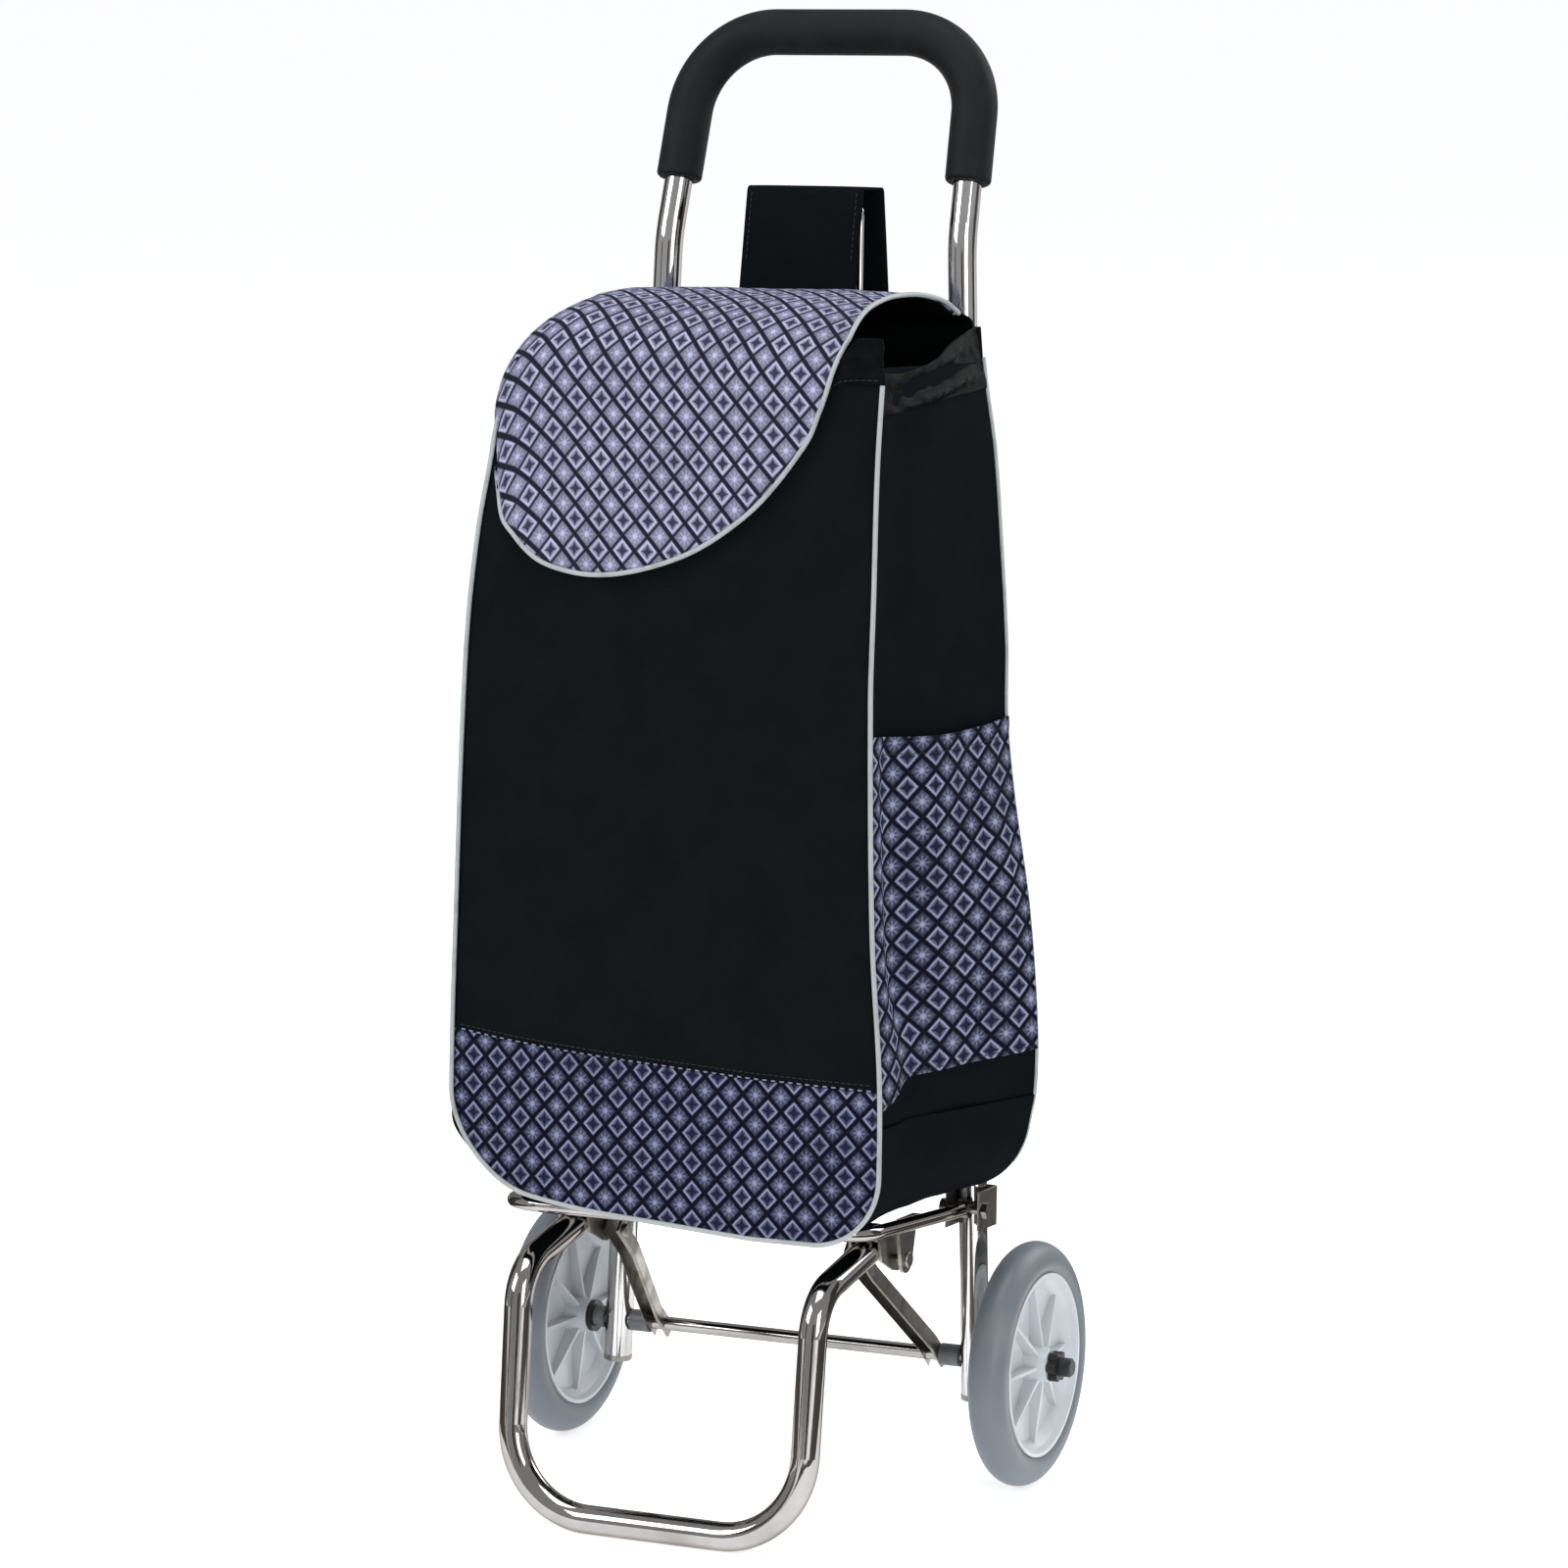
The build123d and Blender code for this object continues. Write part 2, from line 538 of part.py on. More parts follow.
# floor, with its rounded lower corners; it widens towards the back
with BuildPart() as bag_base:
    for v, column in ((INNER_FRONT, AT_FRONT), (INNER_BACK, AT_BACK)):
        seam_w, half = SIDES[0][0], SIDES[0][column]
        inner, inner_r = half - CLOTH, FLOOR_R - CLOTH
        with BuildSketch(facing_y(v)):
            with BuildLine():
                Line((-half, seam_w), (-half, BAG_LOW + FLOOR_R))
                RadiusArc((-half, BAG_LOW + FLOOR_R), (-half + FLOOR_R, BAG_LOW), -FLOOR_R)
                Line((-half + FLOOR_R, BAG_LOW), (half - FLOOR_R, BAG_LOW))
                RadiusArc((half - FLOOR_R, BAG_LOW), (half, BAG_LOW + FLOOR_R), -FLOOR_R)
                Polyline((half, BAG_LOW + FLOOR_R), (half, seam_w), (inner, seam_w), (inner, BAG_LOW + FLOOR_R))
                RadiusArc((inner, BAG_LOW + FLOOR_R), (inner - inner_r, BAG_LOW + CLOTH), inner_r)
                Line((inner - inner_r, BAG_LOW + CLOTH), (-inner + inner_r, BAG_LOW + CLOTH))
                RadiusArc((-inner + inner_r, BAG_LOW + CLOTH), (-inner, BAG_LOW + FLOOR_R), inner_r)
                Polyline((-inner, BAG_LOW + FLOOR_R), (-inner, seam_w), (-half, seam_w))
            make_face()
    loft(ruled=True)
save(bag_base.part, "bag_base")

# patterned pockets on both sides: sewn at the bottom and both edges, open at the top
POCKET_T = 1.5
for side, name in ((-1, "left"), (1, "right")):
    with BuildPart() as pocket:
        for w, gap in ((POCKET_LOW, 0.0), (POCKET_LOW + 30, POCKET_GAP), (330.0, POCKET_GAP),
                       (POCKET_TOP, POCKET_GAP)):
            depths = ((-190.0, 0.0), (-160.0, gap), (-45.0, gap), (-18.0, 0.0))
            inner = [(side * (side_half(v, w) + 0.9 + g), v) for v, g in depths]
            outer = [(side * (side_half(v, w) + 0.9 + g + POCKET_T), v) for v, g in reversed(depths)]
            with BuildSketch(facing_w(w)):
                with BuildLine():
                    Polyline(*inner, *outer, inner[0])
                make_face()
        loft(ruled=True)
    save(pocket.part, f"side_pocket_{name}")

# thin collar over the side panels and the strip that carries the lid
collar_parts = []
for side in (-1, 1):
    top_front, top_back = side_half(INNER_FRONT, 671.0), side_half(INNER_BACK, 671.0)
    a, b = at(side * top_front, INNER_FRONT, FRONT_TOP), at(side * top_back, INNER_BACK, FRONT_TOP)
    run = b - a
    wall = Plane(origin=a, x_dir=run, z_dir=run.cross(at(0, 0, 1) - at(0, 0, 0)) * side)
    with BuildPart() as collar_side:
        with BuildSketch(wall):
            with BuildLine():
                Polyline((2, 0), (run.length - 0.5, 0), (run.length - 0.5, 21 * side),
                         (run.length * 0.5, 13 * side), (2, 4 * side), (2, 0))
            make_face()
        extrude(amount=-1.5)
    collar_parts.append(collar_side.part)
with BuildPart() as lid_strip:
    with BuildSketch(facing_x(-122.0)):
        with BuildLine():
            Polyline((BAG_BACK - 2.3, BACK_TOP), (BAG_BACK - 0.3, BACK_TOP),
                     (BAG_BACK - 3.0, BACK_TOP + 3.5), (LID_HINGE_V + 1.5, LID_HINGE_W - 0.2),
                     (LID_HINGE_V + 1.5, LID_HINGE_W - 1.8), (BAG_BACK - 2.3, BACK_TOP))
        make_face()
    extrude(amount=244.0)
collar_parts.append(lid_strip.part)
save(group(collar_parts), "bag_collar")

# piping along the edges of the front panel and up both edges of the back panel
pipe_v = BAG_FRONT - PIPE_R
edge = [(row[AT_FRONT] - PIPE_R, row[0]) for row in reversed(SIDES[1:])]
corner = [(SIDES[0][AT_FRONT] - PIPE_R, PANEL_LOW + PIPE_R)]
loop_points = [at(x, pipe_v, w) for x, w in edge + corner] + \
    [at(-x, pipe_v, w) for x, w in corner + edge[::-1]]
loop_radii = [400.0] * 4 + [CORNER_R - PIPE_R] * 2 + [400.0] * 4
save(swept(rounded_path(loop_points, loop_radii), PIPE_R), "front_piping")

rods = []
for side in (-1, 1):
    pts = [at(side * (row[AT_BACK] - PIPE_R), BAG_BACK + PIPE_R, row[0]) for row in SIDES]
    rods.append(swept(rounded_path(pts, [200.0] * 4), PIPE_R))
save(group(rods), "back_piping")

# wide hanging loop around the crossbar and over the hoop
LOOP_HALF, LOOP_T = 42.5, 2.0
with BuildPart() as hanging_loop:
    with BuildSketch(facing_x(-LOOP_HALF)):
        with BuildLine():
            Polyline((-10.0, 695.5), (-26.5, 713.0), (-15.5, 784.5), (19.0, 784.5), (30.0, 713.0),
                     (12.0, 695.5), (-10.0, 695.5))
        make_face()
        fillet(vertices(), 4.0)
        offset(amount=-LOOP_T, mode=Mode.SUBTRACT)
    extrude(amount=2 * LOOP_HALF)
save(hanging_loop.part, "hanging_loop")

# ---------------------------------------------------------------- zip on the back panel
ZIP_X, ZIP_LOW, ZIP_TOP = 139.0, 300.0, 488.0
with BuildPart() as zip_tape:
    with BuildSketch(facing_y(BAG_BACK)):
        with Locations((-ZIP_X, (ZIP_LOW + ZIP_TOP) / 2)):
            Rectangle(11.0, ZIP_TOP - ZIP_LOW)
    extrude(amount=0.8)
save(zip_tape.part, "zip_tape")
with BuildPart() as zip_slider:
    with BuildSketch(facing_y(BAG_BACK + 1.0)):
        with Locations((-ZIP_X, ZIP_TOP - 8)):
            RectangleRounded(8.0, 11.0, 2.0)
    extrude(amount=3.2)
save(zip_slider.part, "zip_slider")
with BuildPart() as zip_pull:
    with BuildSketch(facing_y(BAG_BACK + 4.3)):
        with Locations((-ZIP_X, ZIP_TOP - 17)):
            RectangleRounded(5.0, 22.0, 2.0)
    extrude(amount=1.4)
save(zip_pull.part, "zip_pull")

# ---------------------------------------------------------------- lid
LID_T = 2.5
LID_OUT = -207.5          # front face of the hanging tongue
lid_side = [(LID_HINGE_V, LID_HINGE_W), (-50.0, 712.0), (-90.0, 715.0), (-150.0, 707.0),
            (-190.0, 692.0), (LID_OUT, 678.0)]
with BuildPart() as lid_flap:
    with BuildSketch(facing_x(-150.0)):
        with BuildLine():
            Polyline(*lid_side, (LID_OUT, 655.0), (LID_OUT + LID_T, 655.0),
                     (LID_OUT + LID_T, 676.5), *[(v, w - LID_T) for v, w in reversed(lid_side[:-1])],
                     lid_side[0])
        make_face()
    extrude(amount=300.0)
    with BuildSketch(facing_w(600.0)):
        with BuildLine():
            Polyline((-124.0, 0), (-124.0, LID_HINGE_V), (-138.0, -110.0), (-138.0, -215.0),
                     (112.0, -215.0), (106.0, -170.0), (104.0, -120.0), (120.0, LID_HINGE_V),
                     (120.0, 0), (-124.0, 0))
        make_face()
    extrude(amount=150.0, mode=Mode.INTERSECT)
    with BuildSketch(facing_y(LID_OUT)):
        with BuildLine():
            Line((138.0, 655.0), (-112.0, 655.0))
            ThreePointArc((-112.0, 655.0), (-52.0, 578.0), (46.0, 533.0))
            ThreePointArc((46.0, 533.0), (115.0, 572.0), (138.0, 655.0))
        make_face()
    extrude(amount=LID_T)
save(lid_flap.part, "lid_flap")


def smooth_path(points):
    """Wire through the points with the largest even tangent arcs their runs allow."""
    radii = []
    for a, b, c in zip(points, points[1:], points[2:]):
        half = math.radians((a - b).get_angle(c - b)) / 2
        radii.append(0.4 * min((a - b).length, (c - b).length) * math.tan(half))
    return rounded_path(points, radii)


def beside_arc(first, mid, last, count, out):
    """Points along the arc through three points, moved away from its centre."""
    arc = ThreePointArc(first, mid, last)
    spots = [arc @ (k / count) for k in range(count + 1)]
    return [spot + (spot - arc.arc_center).normalized() * out for spot in spots]


edge_v = LID_OUT + LID_T / 2 - 0.5
lift = PIPE_R + 0.15
mid_w = {v: w - LID_T / 2 for v, w in lid_side}
left_edge = [at(-124.5 - lift, -36.0, 703.5), at(-129.0 - lift, -60.0, 711.5),
             at(-138.0 - lift, -112.0, 710.8), at(-138.0 - lift, -150.0, mid_w[-150.0]),
             at(-138.0 - lift, -188.0, 691.5), at(-138.0 - lift, edge_v, 672.0)]
right_edge = [at(120.0 + lift, -36.0, 703.5), at(113.5 + lift, -70.0, 712.0),
              at(104.3 + lift, -120.0, 710.0), at(106.5 + lift, -165.0, 701.0),
              at(110.5 + lift, -196.0, 687.5), at(112.0 + lift, edge_v, 672.0)]
left_arc = beside_arc((-138.0, 655.0), (-115.0, 572.0), (-46.0, 533.0), 4, lift)
right_arc = beside_arc((-46.0, 533.0), (52.0, 578.0), (112.0, 655.0), 5, lift)
tongue = [at(spot.X, edge_v, spot.Y) for spot in left_arc + right_arc[1:]]
with BuildPart() as lid_piping:
    add(swept(smooth_path(left_edge + tongue + right_edge[::-1]), PIPE_R))
    add(lid_flap.part, mode=Mode.SUBTRACT)
save(lid_piping.part.solids().sort_by(SortBy.VOLUME)[-1], "lid_piping")
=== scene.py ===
import json
import math

import bpy
from mathutils import Matrix, Vector, noise


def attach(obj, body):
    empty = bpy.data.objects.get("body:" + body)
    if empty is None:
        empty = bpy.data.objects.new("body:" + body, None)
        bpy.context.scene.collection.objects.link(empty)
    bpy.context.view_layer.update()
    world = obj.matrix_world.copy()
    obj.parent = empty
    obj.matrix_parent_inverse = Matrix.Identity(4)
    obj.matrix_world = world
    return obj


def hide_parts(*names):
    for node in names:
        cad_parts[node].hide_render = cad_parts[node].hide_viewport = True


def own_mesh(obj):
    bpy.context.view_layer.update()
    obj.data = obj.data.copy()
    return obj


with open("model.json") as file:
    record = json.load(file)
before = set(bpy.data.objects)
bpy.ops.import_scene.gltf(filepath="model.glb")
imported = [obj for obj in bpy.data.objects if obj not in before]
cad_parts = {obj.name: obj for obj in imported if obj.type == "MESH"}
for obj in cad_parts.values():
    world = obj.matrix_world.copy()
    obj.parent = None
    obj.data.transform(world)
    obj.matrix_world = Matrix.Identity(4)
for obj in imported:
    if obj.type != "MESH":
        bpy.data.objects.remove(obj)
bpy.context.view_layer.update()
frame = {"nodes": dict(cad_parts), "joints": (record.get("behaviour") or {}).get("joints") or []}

# ---------------------------------------------------------------- the leaning frame
MM = 0.001
LEAN = math.radians(3.7)
SIN, COS = math.sin(LEAN), math.cos(LEAN)
AXLE = next(Vector(j["pos_m"]) for j in frame["joints"] if j["name"] == "wheel_left_spin")


def at(x, v, w):
    """World point, in metres, from millimetres across, back and up the leaning uprights."""
    return Vector((x * MM, AXLE.y + (v * COS + w * SIN) * MM, AXLE.z + (w * COS - v * SIN) * MM))


def shift(x, v, w):
    """Move, in metres, of so many millimetres across, back and up the uprights."""
    return at(x, v, w) - at(0, 0, 0)


FORWARDS = shift(0, -1, 0).normalized()


# ---------------------------------------------------------------- camera, light and floor
def make_camera():
    """The photograph's view, with no lens shift."""
    place = (1.586, AXLE.y - 3.4043, 1.0863)
    yaw, pitch, roll = math.radians(25.032), math.radians(9.366), math.radians(-0.6)
    ahead = Vector((-math.sin(yaw) * math.cos(pitch), math.cos(yaw) * math.cos(pitch), -math.sin(pitch)))
    right = Vector((math.cos(yaw), math.sin(yaw), 0))
    up = right.cross(ahead)
    turned_right = right * math.cos(roll) + up * math.sin(roll)
    turned_up = up * math.cos(roll) - right * math.sin(roll)
    camera = bpy.data.objects.new("camera", bpy.data.cameras.new("camera"))
    bpy.context.scene.collection.objects.link(camera)
    axes = Matrix((turned_right, turned_up, -ahead)).transposed()
    camera.matrix_world = Matrix.Translation(place) @ axes.to_4x4()
    camera.data.lens = 129.645
    camera.data.sensor_width = 36.0
    camera.data.clip_end = 200.0
    bpy.context.scene.camera = camera


def make_light(name, place, target, size, power):
    data = bpy.data.lights.new(name, "AREA")
    data.shape = "RECTANGLE"
    data.size, data.size_y = size
    data.energy = power
    light = bpy.data.objects.new(name, data)
    light.location = place
    light.rotation_euler = (Vector(target) - Vector(place)).to_track_quat("-Z", "Y").to_euler()
    bpy.context.scene.collection.objects.link(light)


def make_quad(name, corners, paint):
    mesh = bpy.data.meshes.new(name)
    mesh.from_pydata(corners, [], [(0, 1, 2, 3)])
    made = bpy.data.objects.new(name, mesh)
    made.data.materials.append(paint)
    bpy.context.scene.collection.objects.link(made)
    return made


def make_stage():
    world = bpy.data.worlds.new("studio")
    bpy.context.scene.world = world
    world.use_nodes = True
    world.node_tree.nodes["Background"].inputs["Color"].default_value = (0.97, 0.98, 1.0, 1)
    world.node_tree.nodes["Background"].inputs["Strength"].default_value = 0.45
    bpy.context.scene.view_settings.view_transform = "Standard"
    half = 80.0
    pale = Finish("floor_paint", Base_Color=(0.86, 0.86, 0.87), Roughness=0.7,
                  Emission_Color=(1, 1, 1), Emission_Strength=0.6)
    floor = make_quad("floor", [(-half, -half, 0), (half, -half, 0), (half, half, 0), (-half, half, 0)],
                      pale.material)
    make_light("key", (-2.6, -3.2, 3.2), (0, 0, 0.5), (2.2, 2.2), 105)
    make_light("fill", (3.4, -2.2, 1.6), (0, 0, 0.4), (1.6, 2.4), 48)
    make_light("top", (0.2, -0.4, 4.2), (0, 0, 0.5), (2.6, 2.6), 90)
    make_light("behind", (1.6, 3.2, 2.4), (0, 0, 0.5), (1.8, 2.4), 52)
    # dark cards that only reflections see: standing ones have a place, a turn and a size, and lying ones
    # their low and high corners
    black = Finish("card_black", Base_Color=(0.05, 0.042, 0.035), Roughness=0.9)
    standing = [((-2.2, 0.4, 0.9), 90, (1.2, 1.8)), ((1.3, -3.0, 0.8), 25, (0.9, 1.6)),
                ((2.4, 1.6, 0.9), -60, (1.3, 1.8)), ((-1.9, -2.8, 0.8), -35, (0.5, 1.6))]
    lying = [(-2.6, -1.9, -0.42, 1.6), (0.42, -0.75, 2.9, 0.9), (-0.1, -2.6, 0.55, -0.62),
             (-0.3, 0.5, 2.2, 3.0)]
    off_floor = 0.003
    shapes = []
    for place, turn, size in standing:
        wide, high = size[0] / 2, size[1] / 2
        shapes.append((place, turn, [(-wide, 0, -high), (wide, 0, -high), (wide, 0, high), (-wide, 0, high)]))
    for low_x, low_y, high_x, high_y in lying:
        corners = [(low_x, low_y, 0), (high_x, low_y, 0), (high_x, high_y, 0), (low_x, high_y, 0)]
        shapes.append(((0, 0, off_floor), 0, corners))
    for number, (place, turn, corners) in enumerate(shapes):
        card = make_quad(f"card_{number}", corners, black.material)
        card.location = place
        card.rotation_euler = (0, 0, math.radians(turn))
        card.visible_camera = False
        card.visible_diffuse = False
        card.visible_shadow = False


# ---------------------------------------------------------------- material helper
class Finish:
    """One procedural material and short ways to add nodes to it."""

    def __init__(self, name, **sockets):
        self.material = bpy.data.materials.new(name)
        self.material.use_nodes = True
        self.tree = self.material.node_tree
        self.shader = self.tree.nodes["Principled BSDF"]
        for socket, value in sockets.items():
            self.set(socket.replace("_", " "), value)

    def set(self, socket, value):
        target = self.shader.inputs[socket]
        if isinstance(value, bpy.types.NodeSocket):
            self.tree.links.new(value, target)
        else:
            target.default_value = value if not isinstance(value, tuple) else (*value, 1)[:4]

    def add(self, kind, inputs=None, **settings):
        made = self.tree.nodes.new(kind)
        for key, value in settings.items():
            setattr(made, key, value)
        for key, value in (inputs or {}).items():
            if isinstance(value, bpy.types.NodeSocket):
                self.tree.links.new(value, made.inputs[key])
            else:
                made.inputs[key].default_value = value
        return made

    def calc(self, operation, *values):
        return self.add("ShaderNodeMath", dict(enumerate(values)), operation=operation).outputs[0]

    def place(self, source="Object"):
        """Coordinates: Object is metres in the piece's own frame, UV is metres of flat cloth."""
        return self.add("ShaderNodeTexCoord").outputs[source]

    def split(self, vector):
        made = self.add("ShaderNodeSeparateXYZ", {0: vector})
        return made.outputs[0], made.outputs[1], made.outputs[2]

    def noise(self, vector, scale, detail=3.0, rough=0.55):
        return self.add("ShaderNodeTexNoise", {"Vector": vector, "Scale": scale, "Detail": detail,
                                               "Roughness": rough}).outputs["Fac"]

    def stretch(self, vector, scale):
        return self.add("ShaderNodeMapping", {"Vector": vector, "Scale": scale}).outputs[0]

    def between(self, value, low, high, out_low=0.0, out_high=1.0):
        return self.add("ShaderNodeMapRange", {0: value, 1: low, 2: high, 3: out_low, 4: out_high}).outputs[0]

    def soft(self, value, low, high):
        return self.add("ShaderNodeMapRange", {0: value, 1: low, 2: high, 3: 0.0, 4: 1.0},
                        interpolation_type="SMOOTHSTEP").outputs[0]

    def mix(self, share, first, second):
        made = self.add("ShaderNodeMix", data_type="RGBA")
        for index, value in ((0, share), (6, first), (7, second)):
            if isinstance(value, bpy.types.NodeSocket):
                self.tree.links.new(value, made.inputs[index])
            else:
                made.inputs[index].default_value = value if index == 0 else (*value, 1)
        return made.outputs[2]

    def bump(self, *layers):
        """Layers are (height, strength, distance in metres), lowest first."""
        normal = None
        for height, strength, distance in layers:
            inputs = {"Height": height, "Strength": strength, "Distance": distance}
            if normal is not None:
                inputs["Normal"] = normal
            normal = self.add("ShaderNodeBump", inputs).outputs[0]
        self.set("Normal", normal)


# ---------------------------------------------------------------- hard materials
def chrome(name, bright, dull):
    f = Finish(name, Metallic=1.0, Specular_Tint=(0.5, 0.46, 0.42, 1))
    spot = f.place()
    streak = f.noise(f.stretch(spot, (400, 400, 30)), 1.0, 4.0, 0.6)
    smear = f.noise(spot, 22.0, 4.0, 0.6)
    f.set("Base Color", f.mix(f.between(smear, 0.35, 0.7), bright, dull))
    rough = f.calc("MULTIPLY_ADD", f.soft(smear, 0.45, 0.8), 0.09, 0.05)
    f.set("Roughness", f.calc("MULTIPLY_ADD", f.soft(streak, 0.55, 0.75), 0.05, rough))
    f.bump((streak, 0.03, 0.0006))
    return f.material


def zinc():
    f = Finish("zinc_steel", Metallic=1.0)
    spot = f.place()
    grain = f.noise(f.stretch(spot, (240, 240, 900)), 1.0, 3.0)
    cloud = f.noise(spot, 60.0, 5.0, 0.65)
    f.set("Base Color", f.mix(f.soft(cloud, 0.35, 0.7), (0.34, 0.325, 0.30), (0.22, 0.205, 0.185)))
    f.set("Roughness", f.between(cloud, 0.3, 0.75, 0.24, 0.46))
    f.bump((grain, 0.12, 0.0004))
    return f.material


def foam():
    f = Finish("foam", Specular_IOR_Level=0.12)
    spot = f.place()
    cells = f.add("ShaderNodeTexVoronoi", {"Vector": spot, "Scale": 1500.0}).outputs["Distance"]
    worn = f.noise(spot, 38.0, 4.0)
    f.set("Base Color", f.mix(f.soft(worn, 0.4, 0.75), (0.0062, 0.0066, 0.0072), (0.0095, 0.0102, 0.0115)))
    f.set("Roughness", f.between(worn, 0.3, 0.7, 0.5, 0.66))
    f.bump((f.noise(spot, 90.0, 3.0), 0.18, 0.001), (cells, 0.3, 0.0005))
    return f.material


def tyre_rubber():
    f = Finish("tyre", Specular_IOR_Level=0.45)
    spot = f.place()
    dust = f.noise(spot, 30.0, 5.0, 0.6)
    fine = f.noise(spot, 900.0, 2.0)
    f.set("Base Color", f.mix(f.soft(dust, 0.42, 0.8), (0.13, 0.152, 0.175), (0.165, 0.18, 0.195)))
    f.set("Roughness", f.between(dust, 0.3, 0.7, 0.36, 0.5))
    f.bump((fine, 0.08, 0.0003))
    return f.material


def white_plastic():
    f = Finish("white_plastic", Subsurface_Weight=0.08, Subsurface_Scale=0.004, Specular_IOR_Level=0.5)
    spot = f.place()
    cloud = f.noise(spot, 26.0, 4.0)
    f.set("Base Color", f.mix(f.soft(cloud, 0.4, 0.75), (0.53, 0.56, 0.59), (0.44, 0.465, 0.49)))
    f.set("Roughness", f.between(cloud, 0.3, 0.7, 0.3, 0.42))
    f.bump((f.noise(spot, 700.0, 2.0), 0.05, 0.0003))
    return f.material


def moulded(name, dark, light, rough):
    f = Finish(name, Specular_IOR_Level=0.45)
    spot = f.place()
    cloud = f.noise(spot, 120.0, 4.0)
    f.set("Base Color", f.mix(f.soft(cloud, 0.35, 0.75), dark, light))
    f.set("Roughness", f.between(cloud, 0.3, 0.7, rough - 0.06, rough + 0.06))
    f.bump((f.noise(spot, 1600.0, 2.0), 0.15, 0.0003))
    return f.material


# ---------------------------------------------------------------- cloth materials
WEAVE = 0.9 * MM
TURN = 2 * math.pi


def weave_height(f, uv, pitch):
    u, v, _ = f.split(uv)
    across = f.calc("SINE", f.calc("MULTIPLY", u, TURN / pitch))
    along = f.calc("SINE", f.calc("MULTIPLY", v, TURN / pitch))
    return f.calc("MULTIPLY", across, along)


def black_cloth():
    f = Finish("black_cloth", Specular_IOR_Level=0.006)
    uv = f.place("UV")
    weave = weave_height(f, uv, WEAVE)
    slub = f.noise(f.stretch(uv, (90, 1400, 1)), 1.0, 3.0)
    cloud = f.noise(uv, 24.0, 4.0, 0.6)
    base = f.mix(f.soft(cloud, 0.3, 0.75), (0.0034, 0.0046, 0.0056), (0.0048, 0.0062, 0.0074))
    base = f.mix(f.between(weave, -1.0, 1.0, 0.0, 0.35), base, (0.0085, 0.0105, 0.0125))
    f.set("Base Color", f.mix(f.soft(slub, 0.58, 0.75), base, (0.0075, 0.009, 0.0105)))
    f.set("Roughness", f.between(cloud, 0.3, 0.7, 0.62, 0.78))
    f.bump((f.noise(uv, 160.0, 3.0), 0.12, 0.0008), (weave, 0.35, 0.0002))
    return f.material


def nylon():
    f = Finish("black_nylon", Specular_IOR_Level=0.015)
    uv = f.place("UV")
    cloud = f.noise(uv, 60.0, 4.0, 0.6)
    f.set("Base Color", f.mix(f.soft(cloud, 0.35, 0.7), (0.0026, 0.003, 0.0034), (0.005, 0.0056, 0.0062)))
    f.set("Roughness", f.between(cloud, 0.3, 0.7, 0.32, 0.5))
    crinkle = f.noise(f.stretch(uv, (40, 130, 1)), 1.0, 5.0, 0.6)
    f.bump((crinkle, 0.55, 0.004), (weave_height(f, uv, 0.5 * MM), 0.15, 0.0001))
    return f.material


